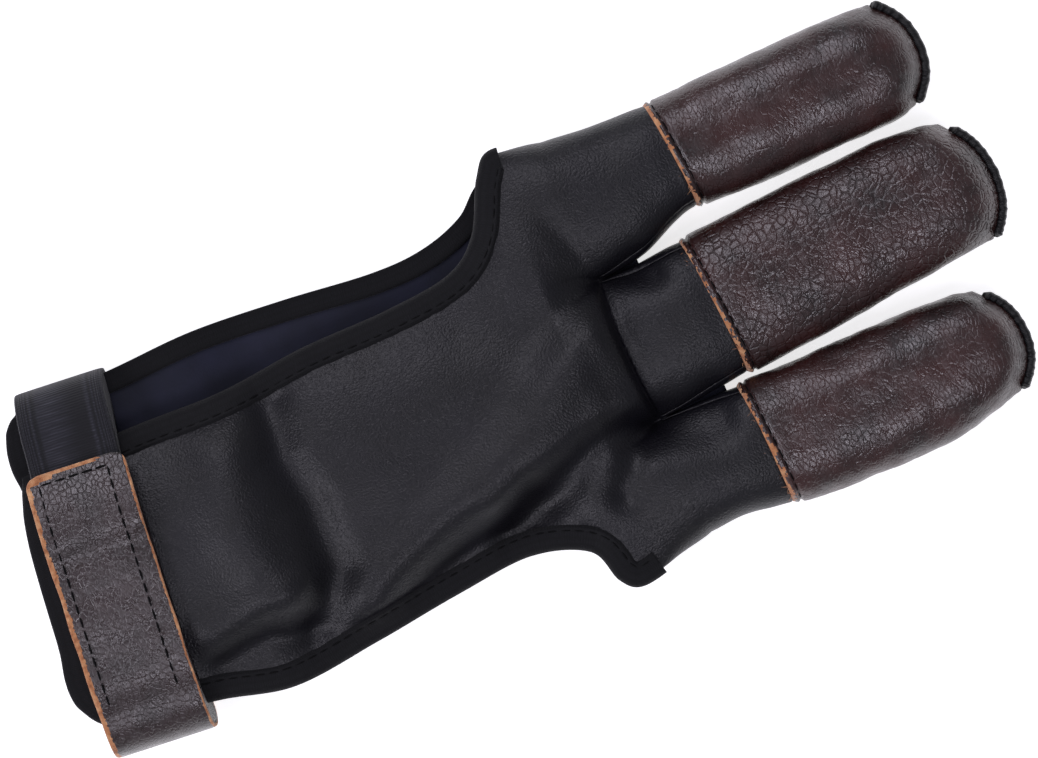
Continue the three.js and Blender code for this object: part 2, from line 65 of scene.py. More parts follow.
def lerp(a: float, b: float, share: float) -> float:
    """Return the value a share of the way from a to b."""
    return a + (b - a) * share


def smooth(value: float) -> float:
    """Return a value eased between 0 and 1, and held outside them."""
    held = min(1.0, max(0.0, value))
    return held * held * (3.0 - 2.0 * held)


def bell(distance: float, spread: float) -> float:
    """Return 1 at no distance, falling softly over a spread."""
    return math.exp(-(distance / spread) ** 2)


def signed_power(value: float, power: float) -> float:
    """Return a power of a number's size with the number's sign."""
    return math.copysign(abs(value) ** power, value)


def catmull(before: float, start: float, end: float, after: float, share: float) -> float:
    """Return a value of the smooth curve through four even points."""
    slope0 = (end - before) * 0.5
    slope1 = (after - start) * 0.5
    square, cube = share * share, share * share * share
    return ((2 * start - 2 * end + slope0 + slope1) * cube
            + (-3 * start + 3 * end - 2 * slope0 - slope1) * square + slope0 * share + start)


def four_of(items: Sequence, number: int) -> list:
    """Return the two items before and the two from a number on, held at the ends."""
    return [items[min(max(number + step, 0), len(items) - 1)] for step in (-2, -1, 0, 1)]


def looked_up(table: Sequence[Sequence[float]], place: float, column: int = 1) -> float:
    """Return a column of a table, smoothly between the places in its first column."""
    if place <= table[0][0]:
        return table[0][column]
    if place >= table[-1][0]:
        return table[-1][column]
    number = next(n for n, row in enumerate(table) if row[0] > place)
    share = (place - table[number - 1][0]) / (table[number][0] - table[number - 1][0])
    return catmull(*[row[column] for row in four_of(table, number)], share)


def in_frame(point: Vector) -> Vector:
    """Return a point of the glove, in millimetres, as metres in the shared frame."""
    return (point + FRAME_SHIFT) * MM


class Line:
    """A line of points that is followed by its length."""

    def __init__(self, points: Sequence[Vector]) -> None:
        """Measure the line."""
        self.points = points
        self.lengths = [0.0]
        for before, after in zip(points, points[1:]):
            self.lengths.append(self.lengths[-1] + (after - before).length)
        self.total = self.lengths[-1]

    @classmethod
    def curve(cls, points: Sequence[Sequence[float]], steps: int) -> "Line":
        """Return the smooth curve through flat points, with steps between each two."""
        places = []
        for number in range(1, len(points)):
            four = four_of(points, number)
            places += [Vector([catmull(*[point[axis] for point in four], step / steps) for axis in (0, 1)])
                       for step in range(steps)]
        return cls([*places, Vector(points[-1])])

    def at(self, distance: float) -> Vector:
        """Return the point at a distance along the line."""
        number = max(1, min(bisect_left(self.lengths, distance), len(self.points) - 1))
        span = self.lengths[number] - self.lengths[number - 1]
        share = (distance - self.lengths[number - 1]) / span if span else 0.0
        return self.points[number - 1].lerp(self.points[number], share)


class Slot(Enum):
    """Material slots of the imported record."""

    BLACK_SYNTHETIC = "black_synthetic"
    BROWN_LEATHER = "brown_leather"
    KNIT_TAPE = "knit_tape"
    WOVEN_ELASTIC = "woven_elastic"
    EDGE_CORD = "edge_cord"


class Grain(Enum):
    """Grains of the brown leather's pieces."""

    WRINKLED = "wrinkled"
    PEBBLED = "pebbled"
    CREASED = "creased"
    STRAP = "strap"


# Meshes

def sheet_mesh(rows: int, columns: int, place: Place, size: Pair = (1.0, 1.0), flip: bool = False) -> Mesh:
    """Return a grid laid onto a surface, with a UV map in millimetres.

    Args:
        rows: Faces along the first direction.
        columns: Faces along the second direction.
        place: Point of the surface, in millimetres, at two shares from 0 to 1.
        size: Lengths of the two directions in millimetres.
        flip: Whether the faces are turned over.

    Returns:
        The grid as a bmesh in metres.
    """
    bm = bmesh.new()
    uv = bm.loops.layers.uv.new("Cloth")
    bmesh.ops.create_grid(bm, x_segments=rows, y_segments=columns, size=0.5)
    for face in bm.faces:
        for loop in face.loops:
            corner = loop.vert.co
            loop[uv].uv = ((corner.x + 0.5) * size[0], (corner.y + 0.5) * size[1])
    for vert in bm.verts:
        vert.co = in_frame(place(vert.co.x + 0.5, vert.co.y + 0.5))
    if flip:
        bmesh.ops.reverse_faces(bm, faces=bm.faces[:])
    return bm


def joined(parts: Sequence[Mesh], merge: float) -> Mesh:
    """Return one bmesh of several, with vertices merged within a distance in metres."""
    whole = bmesh.new()
    for part in parts:
        mesh = bpy.data.meshes.new("part")
        part.to_mesh(mesh)
        part.free()
        whole.from_mesh(mesh)
        bpy.data.meshes.remove(mesh)
    bmesh.ops.remove_doubles(whole, verts=whole.verts[:], dist=merge)
    return whole


def closed_mesh(rows: int, columns: int, place: Place, size: Pair) -> Mesh:
    """Return a grid rolled up along its columns, with its seam merged and its ends capped."""
    bm = sheet_mesh(rows, columns, place, size)
    bmesh.ops.remove_doubles(bm, verts=bm.verts[:], dist=1e-7)
    bmesh.ops.holes_fill(bm, edges=[edge for edge in bm.edges if edge.is_boundary], sides=0)
    bmesh.ops.recalc_face_normals(bm, faces=bm.faces[:])
    return bm


def add_piece(name: str, bm: Mesh, materials: Sequence[Material], slot: Slot, node: str = "",
              wall: float = 0.0) -> None:
    """Put a mesh into the scene as a piece of the glove.

    Args:
        name: Name of the piece.
        bm: Its mesh in metres, freed here.
        materials: Its materials, in the order of its faces' indices.
        slot: Material slot of the record; not used.
        node: CAD node that it stands for.
        wall: Wall in millimetres that is grown inwards, lined with the second material.
    """
    mesh = bpy.data.meshes.new(name)
    for face in bm.faces:
        face.smooth = True
    bm.to_mesh(mesh)
    bm.free()
    for material in materials:
        mesh.materials.append(material)
    piece = bpy.data.objects.new(name, mesh)
    bpy.context.scene.collection.objects.link(piece)
    if wall:
        solid = piece.modifiers.new("wall", "SOLIDIFY")
        solid.thickness = wall * MM
        solid.offset = -1.0
        solid.use_even_offset = False
        solid.material_offset = 1
    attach(piece, "root")
    if node:
        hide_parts(node)
    log.info("%s: %d faces", name, len(mesh.polygons))


# Forms of the glove, in millimetres, with the same named sizes as the frame

@dataclass(frozen=True, eq=False)
class Outline:
    """Edge line through points given as shares of the palm's length and width."""

    points: Table
    length: float
    width: float

    @lru_cache(maxsize=None)
    def line(self) -> Line:
        """Return the smooth line in millimetres."""
        return Line.curve([Vector(((along - 1.0) * self.length, side * self.width))
                           for along, side in self.points], 60)

    @lru_cache(maxsize=None)
    def at(self, share: float) -> Vector:
        """Return the point at a share of the line's length."""
        return self.line().at(min(max(share, 0.0), 1.0) * self.line().total)

    @lru_cache(maxsize=None)
    def inward(self, share: float, side: float) -> Vector:
        """Return the unit direction into the panel at a share of the line."""
        ahead = self.at(min(1.0, share + 0.004)) - self.at(max(0.0, share - 0.004))
        return (Vector((ahead.y, -ahead.x)) * side).normalized()


@dataclass(frozen=True, eq=False)
class Finger:
    """A finger of the glove, with rows of where it is, its middle and half its width, as shares."""

    name: str
    length: float
    width: float
    tip_base: float
    base_slant: float
    sections: tuple[tuple[float, float, float], ...]

    @lru_cache(maxsize=None)
    def section(self, distance: float, column: int) -> float:
        """Return a column of the table, smoothly between its rows."""
        return looked_up(self.sections, distance / self.length, column)


INDEX = Finger("index", 83.7, 25.8, 23.9, -1.1, (
    (0.000, 0.299, 0.614), (0.125, 0.296, 0.581), (0.269, 0.317, 0.484), (0.424, 0.317, 0.494),
    (0.783, 0.320, 0.496), (0.878, 0.320, 0.481), (0.950, 0.325, 0.438)))
MIDDLE = Finger("middle", 87.2, 31.0, 19.2, -1.2, (
    (0.000, -0.042, 0.506), (0.201, -0.031, 0.516), (0.407, -0.020, 0.519),
    (0.579, -0.009, 0.506), (0.751, 0.000, 0.490), (0.866, 0.002, 0.465), (0.946, -0.006, 0.423)))
RING = Finger("ring", 79.3, 29.4, 17.4, -0.6, (
    (0.000, -0.353, 0.438), (0.107, -0.348, 0.442), (0.246, -0.358, 0.481),
    (0.448, -0.367, 0.498), (0.700, -0.368, 0.488), (0.851, -0.359, 0.444), (0.939, -0.358, 0.384)))


@dataclass(frozen=True, eq=False)
class Fold:
    """A ridge, valley or dent of the front along a line of places, in millimetres."""

    places: Table
    spread: float
    rise: float

    def height(self, x: float, y: float) -> float:
        """Return the fold's height at a place."""
        nearest = 1e9
        for (x0, y0), (x1, y1) in zip(self.places, self.places[1:]):
            along_x, along_y = x1 - x0, y1 - y0
            share = ((x - x0) * along_x + (y - y0) * along_y) / (along_x ** 2 + along_y ** 2)
            share = min(1.0, max(0.0, share))
            nearest = min(nearest, (x - x0 - along_x * share) ** 2 + (y - y0 - along_y * share) ** 2)
        return self.rise * math.exp(-nearest / self.spread ** 2)


@dataclass(frozen=True, eq=False)
class GloveForm:
    """Surfaces of the glove's panels and fingertips."""

    palm_length: float = 136.0
    knuckle_width: float = 96.0
    front_edges: tuple[Table, Table] = (
        ((0.044, 0.234), (0.210, 0.253), (0.379, 0.244), (0.526, 0.260), (0.673, 0.260),
         (0.783, 0.276), (0.842, 0.333), (0.886, 0.446), (0.923, 0.493), (1.000, 0.465)),
        ((0.011, -0.344), (0.180, -0.380), (0.305, -0.422), (0.452, -0.406), (0.599, -0.383),
         (0.724, -0.372), (0.812, -0.417), (0.835, -0.500), (0.864, -0.534), (0.923, -0.522),
         (1.000, -0.487)))
    back_edges: tuple[Table, Table] = (
        ((0.062, 0.401), (0.221, 0.391), (0.379, 0.396), (0.526, 0.378), (0.673, 0.352),
         (0.761, 0.354), (0.835, 0.385), (0.893, 0.443), (1.000, 0.465)),
        ((0.040, -0.323), (0.180, -0.344), (0.305, -0.375), (0.452, -0.375), (0.599, -0.359),
         (0.724, -0.354), (0.820, -0.396), (0.879, -0.474), (1.000, -0.487)))
    wrist_bulge: Table = (
        (0.0, 0.0), (0.11, 1.2), (0.22, 1.9), (0.37, 2.3), (0.51, 2.6), (0.65, 3.0), (0.78, 4.1),
        (0.87, 3.8), (0.94, 2.0), (1.0, 0.0))
    back_bulge: Table = (
        (0.0, -2.8), (0.02, -0.6), (0.05, 1.1), (0.11, 2.4), (0.17, 2.8), (0.25, 2.4), (0.32, 3.6),
        (0.41, 4.5), (0.53, 5.4), (0.64, 5.9), (0.75, 6.5), (0.85, 7.8), (0.92, 7.2), (0.97, 4.2),
        (1.0, 0.0))
    bulge_end: float = 0.3
    dome_rise: float = 6.4
    edge_height: float = 11.2
    crease_dip: float = 1.3
    arch_start: float = 0.6
    front_seam_start: float = 0.9
    back_seam_start: float = 0.93
    strap_edge: float = 0.26
    strap_fade: float = 0.16
    finger_height: float = 15.5
    seam_height: float = 6.2
    seam_angle: float = 26.2
    rim_angle: float = 0.5
    end_round: float = 5.2
    nose_length: float = 16.0
    nose_power: float = 4.0
    stub_tuck: float = 6.0
    stub_narrowing: float = 5.0
    neck_inset: float = 0.3
    synthetic: float = 1.2
    leather: float = 1.4
    tape: float = 0.9
    clearance: float = 0.3
    binding: float = 5.5
    elastic: float = 1.6
    strap: float = 1.8
    crotches: Table = ((12.4, 9.0), (-20.1, 18.0))
    crotch_half: float = 2.0
    crotch_pinch: float = 1.4
    floor_gap: float = 0.03
    columns: tuple[int, int, int] = (7, 6, 7)
    fingers: tuple[Finger, Finger, Finger] = (INDEX, MIDDLE, RING)
    folds: tuple[Fold, ...] = (
        Fold(((-88.8, 9.3), (-91.5, -7.4), (-87.8, -20.0)), 8.0, 2.5),
        Fold(((-75.9, 17.0), (-77.4, 5.4), (-75.4, -6.2), (-76.2, -21.3), (-84.0, -30.0)), 4.4, -2.7),
        Fold(((-8.0, 2.0), (-25.0, -10.0), (-40.0, -17.5), (-57.5, -23.5), (-71.9, -29.5)), 6.5, 3.0),
        Fold(((-32.0, -25.5), (-45.0, -29.0), (-62.0, -34.0)), 5.5, -2.8),
        Fold(((-105.9, -23.6), (-93.7, -22.0), (-84.0, -22.7)), 5.0, 1.8),
        Fold(((-106.1, -30.0), (-94.9, -28.5), (-88.0, -31.5)), 4.0, -2.3),
        Fold(((-2.5, -16.0), (-10.5, -13.0), (-26.1, -17.3), (-40.0, -23.0)), 4.0, 1.5),
        Fold(((-2.0, -19.0), (-16.9, -20.5), (-26.1, -25.5), (-40.0, -31.0)), 4.2, -2.8),
        Fold(((-3.0, -21.5), (-8.7, -25.0), (-13.5, -31.0)), 3.4, -2.0),
        Fold(((-5.0, 8.0), (-4.6, -4.0), (-4.8, -14.0)), 4.0, 1.1),
        Fold(((0.0, -20.2), (8.0, -19.9), (17.0, -19.6)), 3.4, -1.9),
        Fold(((2.0, -23.0), (8.0, -25.5), (13.0, -25.0)), 5.0, -2.4),
        Fold(((0.0, 12.4), (9.5, 12.7)), 2.8, -1.9),
        Fold(((3.0, 11.5), (10.5, 8.8)), 3.2, -1.7),
        Fold(((0.3, 14.0), (-2.4, 20.5), (-5.3, 27.7)), 2.6, -0.5),
        Fold(((-30.0, 14.0), (-20.0, 8.0), (-12.0, 9.0)), 7.0, -0.9),
    )

    @property
    def reach(self) -> float:
        """Return how far a tape's outside stands from its panel's edge."""
        return self.clearance + self.tape

    @property
    def stub_inset(self) -> float:
        """Return how far a finger's stub lies inside its leather's outside."""
        return self.leather + self.clearance

    @property
    def strap_lift(self) -> float:
        """Return how far the strap under the glove lifts the back panel."""
        return self.strap + self.elastic + 2 * self.clearance + self.reach - self.stub_inset

    @property
    def last_column(self) -> int:
        """Return the number of the last column, at the little finger's side."""
        return sum(self.columns) - 1

    @lru_cache(maxsize=None)
    def edge(self, facing: float, number: int) -> Outline:
        """Return the outline of a panel's long edge, on the thumb's or the little finger's side."""
        table = (self.front_edges if facing > 0 else self.back_edges)[number]
        return Outline(table, self.palm_length, self.knuckle_width)

    def first_column(self, number: int) -> int:
        """Return the first column of a finger."""
        return sum(self.columns[:number])

    def finger_point(self, finger: Finger, distance: float, angle: float, inset: float,
                     above: float, below: float) -> Vector:
        """Return a point of a finger's section.

        Args:
            finger: The finger.
            distance: Distance from the knuckle line.
            angle: Angle from the thumb side, up over the front.
            inset: Depth below the outside.
            above: Height of the outside above the seam line.
            below: Depth of the outside below the seam line.

        Returns:
            The point in millimetres.
        """
        across = signed_power(math.cos(angle), 0.85)
        centre = finger.section(distance, 1) * self.knuckle_width
        half = finger.section(distance, 2) * finger.width
        sine = math.sin(angle)
        lift = (above - inset) * sine ** 0.8 if sine > 0 else -(below - inset) * abs(sine) ** 0.5
        return Vector((distance, centre + (half - inset) * across, self.seam_height + lift))

    def stub_end(self, finger: Finger) -> float:
        """Return where a stub ends inside its leather."""
        return finger.tip_base + self.stub_tuck

    def narrow_end(self, finger: Finger) -> float:
        """Return where a stub is narrow enough for its leather."""
        return finger.tip_base - abs(finger.base_slant) - 2 * self.clearance

    def stub_point(self, finger: Finger, distance: float, angle: float, depth: float = 0.0) -> Vector:
        """Return a point of a black finger stub, a depth below its outside."""
        covered = finger.tip_base + abs(finger.base_slant)
        neck = smooth((distance - covered + self.stub_narrowing) / self.stub_narrowing)
        inset = lerp(self.neck_inset * neck, self.stub_inset, smooth((distance - covered) / 2.0))
        above = self.finger_height - self.seam_height
        below = self.seam_height - self.stub_inset + inset
        return self.finger_point(finger, distance, angle, inset + depth, above, below)

    def column_angle(self, column: float) -> tuple[int, float, float]:
        """Return the finger's number, the angle and the share of its width at a column."""
        number = sum(column >= self.first_column(n) - 1e-6 for n in (1, 2))
        first = self.rim_angle if number == 0 else self.seam_angle
        last = 180.0 - (self.rim_angle if number == 2 else self.seam_angle)
        step = (column - self.first_column(number)) / (self.columns[number] - 1)
        return number, math.radians(lerp(first, last, step)), step

    @lru_cache(maxsize=None)
    def row(self, facing: float, share: float) -> tuple[Vector, Vector, float]:
        """Return the ends of a panel's row, inside its tapes, and the distance between them."""
        fade = 1.0 - smooth((share - self.back_seam_start) / (1.0 - self.back_seam_start))
        ends = [self.edge(facing, number).at(share)
                + self.edge(facing, number).inward(share, side) * self.reach * fade
                for number, side in ((THUMB_SIDE, 1.0), (LITTLE_SIDE, -1.0))]
        return ends[0], ends[1], (ends[0] - ends[1]).length

    @lru_cache(maxsize=None)
    def knuckle(self, facing: float, column: float) -> Vector:
        """Return the point of a column at the knuckle line."""
        number, angle, _ = self.column_angle(column)
        return self.stub_point(self.fingers[number], 0.0, facing * angle)

    def column_share(self, facing: float, share: float, column: float) -> float:
        """Return the share of the way across the panel at a column."""
        border = self.binding / self.row(facing, share)[2]
        if column <= 1:
            flat = border * column
        elif column >= self.last_column - 1:
            flat = 1.0 - border * (self.last_column - column)
        else:
            flat = lerp(border, 1.0 - border, (column - 1) / (self.last_column - 2))
        first, last, here = [self.knuckle(facing, place).y for place in (0.0, float(self.last_column), column)]
        arch = smooth((share - self.arch_start) / (1.0 - self.arch_start))
        return lerp(flat, (first - here) / (first - last), arch)

    def body(self, facing: float, share: float, column: float) -> Vector:
        """Return a point of a hand panel's outside.

        Args:
            facing: Front or back.
            share: Share of the way from the wrist to the knuckle line.
            column: Place across the panel, counted from the thumb's side.

        Returns:
            The point in millimetres.
        """
        for before in (self.first_column(1) - 1, self.first_column(2) - 1):
            if before + 1e-6 < column < before + 1 - 1e-6:
                start = self.body(facing, share, float(before))
                return start.lerp(self.body(facing, share, before + 1.0), column - before)
        across = self.column_share(facing, share, column)
        point = self.row(facing, share)[0].lerp(self.row(facing, share)[1], across)
        front = facing > 0
        bulge = looked_up(self.wrist_bulge if front else self.back_bulge, across)
        point.x -= bulge * max(0.0, 1.0 - share / self.bulge_end) ** 2
        start = self.front_seam_start if front else self.back_seam_start
        seam = smooth((share - start) / (1.0 - start))
        lift = self.strap_lift * smooth((self.strap_edge + self.strap_fade - share) / self.strap_fade)
        height = self.stub_inset + lift
        if front:
            number, _, step = self.column_angle(column)
            point.x -= self.crease_dip * math.sin(math.pi * step) * seam if number == 1 else 0.0
            curve = max(0.0, math.sin(math.pi * across))
            height = self.edge_height + lift * 0.45 + self.dome_rise * curve ** 0.6
        return Vector((point.x, point.y, lerp(height, self.knuckle(facing, column).z, seam)))

    def tip_point(self, finger: Finger, share: float, angle: float, inset: float = 0.0,
                  reach: float = 0.0) -> Vector:
        """Return a point of a leather tip.

        Args:
            finger: The finger.
            share: Share of the way from the base edge to the end seam.
            angle: Angle from the thumb side, up over the front.
            inset: Depth below the outside.
            reach: Distance outwards past the end seam.

        Returns:
            The point in millimetres.
        """
        across = signed_power(math.cos(angle), 0.85)
        base = finger.tip_base + finger.base_slant * across
        end = finger.length - self.reach - self.end_round * abs(across) ** 2.6 - 0.8 * max(0.0, across)
        start = 1.0 - self.nose_length / (finger.length - finger.tip_base)
        full = 1.0 - max(0.0, (share - start) / (1.0 - start)) ** self.nose_power
        layer = self.leather + self.clearance / 2
        above = lerp(layer, self.finger_height - self.seam_height, full)
        below = lerp(layer, self.seam_height, full)
        point = self.finger_point(finger, lerp(base, end, share), angle, inset, above, below)
        slope = math.copysign(self.end_round * 2.2 * abs(across) ** 1.2, across)
        outward = Vector((finger.width / 2, slope)).normalized()
        return point + Vector((outward.x, outward.y, 0.0)) * reach


FORM = GloveForm()


# Finishes

def srgb(hex_colour: str) -> tuple[float, float, float, float]:
    """Return a linear colour for an sRGB hex value such as 2c2c31."""
    parts = [int(hex_colour[i:i + 2], 16) / 255 for i in (0, 2, 4)]
    linear = [p / 12.92 if p <= 0.04045 else ((p + 0.055) / 1.055) ** 2.4 for p in parts]
    return (*linear, 1.0)


def add_node(tree: bpy.types.NodeTree, kind: str, inputs: dict | None = None, output: str | int = 0,
             stops: Sequence[tuple[float, str]] = (), **settings: object) -> Socket:
    """Add a shader node with its settings and links.

    Args:
        tree: The material's node tree.
        kind: Blender's name of the node type, after ShaderNode.
        inputs: Values or output sockets, by the input's name or number.
        output: Name or number of the output that is returned.
        stops: Places and sRGB hex colours of a colour ramp.
        settings: Values of the node's own properties.

    Returns:
        One of the node's output sockets, or its material output's input.
    """
    node = tree.nodes.new("ShaderNode" + kind)
    for key, value in settings.items():
        setattr(node, key, value)
    for number, (place, colour) in enumerate(stops):
        elements = node.color_ramp.elements
        element = elements[number] if number < len(elements) else elements.new(place)
        element.position, element.color = place, srgb(colour)
    for key, value in (inputs or {}).items():
        if isinstance(value, Socket):
            tree.links.new(value, node.inputs[key])
        else:
            node.inputs[key].default_value = value
    return node.outputs[output] if node.outputs else node.inputs[0]


def new_tree(name: str) -> tuple[Material, bpy.types.NodeTree]:
    """Return an empty material and its node tree."""
    material = bpy.data.materials.new(name)
    material.use_nodes = True
    material.node_tree.nodes.clear()
    return material, material.node_tree


def finished(material: Material, normal: Socket, inputs: dict) -> Material:
    """Return a material with its shader, fed with a normal and by its inputs' names."""
    shader = add_node(material.node_tree, "BsdfPrincipled", {"Normal": normal, **inputs})
    add_node(material.node_tree, "OutputMaterial", {"Surface": shader})
    return material


def millimetres(tree: bpy.types.NodeTree, source: str, stretch: tuple[float, float, float] = (1, 1, 1),
                turn: float = 0.0) -> Socket:
    """Return coordinates in millimetres, stretched and turned about Z.

    Args:
        tree: The material's node tree.
        source: Object, or UV for the piece's own map.
        stretch: Scale of each axis.
        turn: Turn about Z in degrees.

    Returns:
        The vector socket.
    """
    unit = 1.0 if source == "UV" else 1.0 / MM
    return add_node(tree, "Mapping", {
        "Vector": add_node(tree, "TexCoord", None, source), "Rotation": (0.0, 0.0, math.radians(turn)),
        "Scale": tuple(unit * part for part in stretch)})


def bumped(tree: bpy.types.NodeTree, *layers: tuple[Socket, float, float]) -> Socket:
    """Return the normal of layers of relief, each a height, its depth in millimetres and a strength."""
    normal = {}
    for height, depth, strength in layers:
        normal = {"Normal": add_node(tree, "Bump", {
            "Height": height, "Distance": depth * MM, "Strength": strength, **normal})}
    return normal["Normal"]


@dataclass(frozen=True)
class SyntheticLeather:
    """Polyurethane synthetic leather, embossed with a fine grain: satin black."""

    grain_mm: float = 0.5
    roughness: float = 0.40
    dark: str = "09080d"
    light: str = "0e0d14"

    def build(self) -> Material:
        """Return the material."""
        material, tree = new_tree("Black synthetic leather")
        vector = millimetres(tree, "Object")
        cloud = add_node(tree, "TexNoise", {"Vector": vector, "Scale": 1 / 14.0, "Detail": 4.0})
        cells = add_node(tree, "TexVoronoi", {"Vector": vector, "Scale": 1 / self.grain_mm})
        pits = add_node(tree, "TexNoise", {"Vector": vector, "Scale": 1 / (self.grain_mm * 0.9), "Detail": 1.0})
        swells = add_node(tree, "TexNoise", {"Vector": vector, "Scale": 1 / 7.0, "Detail": 3.0})
        return finished(material, bumped(tree, (cells, 0.12, 0.5), (pits, 0.20, 0.6), (swells, 0.2, 0.25)), {
            "Base Color": add_node(tree, "ValToRGB", {"Fac": cloud},
                                   stops=((0.35, self.dark), (0.7, self.light))),
            "Roughness": add_node(tree, "MapRange", {
                "Value": pits, "From Min": 0.3, "From Max": 0.7,
                "To Min": self.roughness - 0.05, "To Max": self.roughness + 0.08}),
            "Specular IOR Level": 0.38})


@dataclass(frozen=True)
class Lining:
    """Brushed tricot backing of the synthetic leather: dark navy black and soft."""

    dark: str = "141623"
    light: str = "1d1f31"
    sheen: str = "39486e"

    def build(self) -> Material:
        """Return the material."""
        material, tree = new_tree("Brushed tricot lining")
        vector = millimetres(tree, "Object")
        nap = add_node(tree, "TexNoise", {"Vector": vector, "Scale": 1 / 0.5, "Detail": 3.0})
        cloud = add_node(tree, "TexNoise", {"Vector": vector, "Scale": 1 / 11.0, "Detail": 3.0})
        return finished(material, bumped(tree, (nap, 0.15, 0.5)), {
            "Base Color": add_node(tree, "ValToRGB", {"Fac": cloud},
                                   stops=((0.35, self.dark), (0.75, self.light))),
            "Roughness": 0.7, "Specular IOR Level": 0.25, "Sheen Weight": 0.12, "Sheen Roughness": 0.4,
            "Sheen Tint": srgb(self.sheen)})


@dataclass(frozen=True)
class KnitTape:
    """Polyester binding tape, warp knitted: matt black with fine courses across it."""

    course_mm: float = 0.5
    dark: str = "040406"
    light: str = "0c0c10"

    def build(self) -> Material:
        """Return the material."""
        material, tree = new_tree("Knitted binding tape")
        vector = millimetres(tree, "UV")
        courses, wales = [add_node(tree, "TexWave", {
            "Vector": vector, "Scale": WAVE_OF_1_MM / self.course_mm, "Distortion": distortion, "Detail": 1.0},
            "Fac", bands_direction=axis) for axis, distortion in (("X", 1.2), ("Y", 1.0))]
        knit = add_node(tree, "Math", {0: courses, 1: wales}, operation="MULTIPLY")
        fuzz = add_node(tree, "TexNoise", {"Vector": vector, "Scale": 1 / 0.45, "Detail": 3.0})
        return finished(material, bumped(tree, (knit, 0.09, 0.4), (fuzz, 0.25, 0.6)), {
            "Base Color": add_node(tree, "ValToRGB", {
                "Fac": add_node(tree, "Math", {0: knit, 1: fuzz}, operation="ADD")},
                stops=((0.3, self.dark), (1.0, self.light))),
            "Roughness": 0.88, "Sheen Weight": 0.04, "Sheen Roughness": 0.5, "Specular IOR Level": 0.3})


@dataclass(frozen=True)
class WovenElastic:
    """Woven elastic webbing: matt black with fine lengthwise ribs and bolder edge ribs."""

    rib_mm: float = 1.0
    dark: str = "131317"
    middle: str = "23232a"
    light: str = "3a3a42"

    def build(self) -> Material:
        """Return the material."""
        material, tree = new_tree("Woven elastic webbing")
        vector = millimetres(tree, "UV")
        ribs, picks = [add_node(tree, "TexWave", {
            "Vector": vector, "Scale": WAVE_OF_1_MM / size, "Distortion": distortion, "Detail": 1.0},
            "Fac", bands_direction=axis)
            for axis, size, distortion in (("Y", self.rib_mm, 0.3), ("X", self.rib_mm * 0.6, 0.6))]
        weave = add_node(tree, "Math", {0: picks, 1: 0.45, 2: ribs}, operation="MULTIPLY_ADD")
        fuzz = add_node(tree, "TexNoise", {"Vector": vector, "Scale": 1 / 0.5, "Detail": 3.0})
        return finished(material, bumped(tree, (weave, 0.18, 0.6)), {
            "Base Color": add_node(tree, "ValToRGB", {
                "Fac": add_node(tree, "Math", {0: weave, 1: fuzz}, operation="MULTIPLY")},
                stops=((0.15, self.dark), (0.6, self.middle), (0.95, self.light))),
            "Roughness": 0.82, "Sheen Weight": 0.15, "Specular IOR Level": 0.3})


@dataclass(frozen=True)
class BrownLeather:
    """Vegetable-tanned cowhide dyed dark brown: glossy grain with reddish creases, painted darker as shade in
    them.
    """

    grain: Grain
    cell_mm: float
    stretch: tuple[float, float, float]
    turn: float
    crease_mm: float
    roughness: float
    dark: str = "261413"
    light: str = "3b2221"
    # Crease colours: the leather's own redder dye, made darker as painted shade.
    crack_shade: str = "120706"
    crack: str = "35130f"

    def build(self) -> Material:
        """Return the material."""
        material, tree = new_tree(f"Brown leather, {self.grain.value}")
        plain = millimetres(tree, "Object")
        vector = millimetres(tree, "Object", self.stretch, self.turn)
        wobble = add_node(tree, "TexNoise", {
            "Vector": vector, "Scale": 0.55 / self.cell_mm, "Detail": 3.0}, "Color")
        warped = add_node(tree, "VectorMath", {0: wobble, 1: (self.cell_mm * 0.55,) * 3, 2: vector},
                          operation="MULTIPLY_ADD")
        edge, fine = [add_node(tree, "MapRange", {
            "Value": add_node(tree, "TexVoronoi", {"Vector": warped, "Scale": scale / self.cell_mm},
                              feature="DISTANCE_TO_EDGE"), "From Max": width})
            for scale, width in ((1.0, 0.15), (2.6, 0.2))]
        cloud, pore, patches = [
            add_node(tree, "TexNoise", {"Vector": plain, "Scale": 1 / size, "Detail": detail})
            for size, detail in ((9.0, 4.0), (0.35, 2.0), (3.0, 3.0))]
        shallow = add_node(tree, "MapRange", {"Value": fine, "To Min": 0.7})
        depth = add_node(tree, "Math", {0: edge, 1: shallow}, operation="MULTIPLY")
        # Creases take their redder colour and are darkened further as painted shade, through the crease mask
        # below.
        crack_colour_and_shade, body = [add_node(tree, "ValToRGB", {"Fac": cloud}, stops=stops) for stops in (
            ((0.3, self.crack_shade), (0.7, self.crack)), ((0.3, self.dark), (0.72, self.light)))]
        layers = (edge, self.crease_mm, 0.7), (fine, self.crease_mm * 0.4, 0.5), (pore, 0.02, 0.4)
        return finished(material, bumped(tree, *layers), {
            "Base Color": add_node(tree, "Mix", {0: depth, 6: crack_colour_and_shade, 7: body}, 2, data_type="RGBA"),
            "Roughness": add_node(tree, "MapRange", {
                "Value": patches, "From Min": 0.3, "From Max": 0.7,
                "To Min": self.roughness - 0.06, "To Max": self.roughness + 0.1}),
            "Specular IOR Level": 0.75})


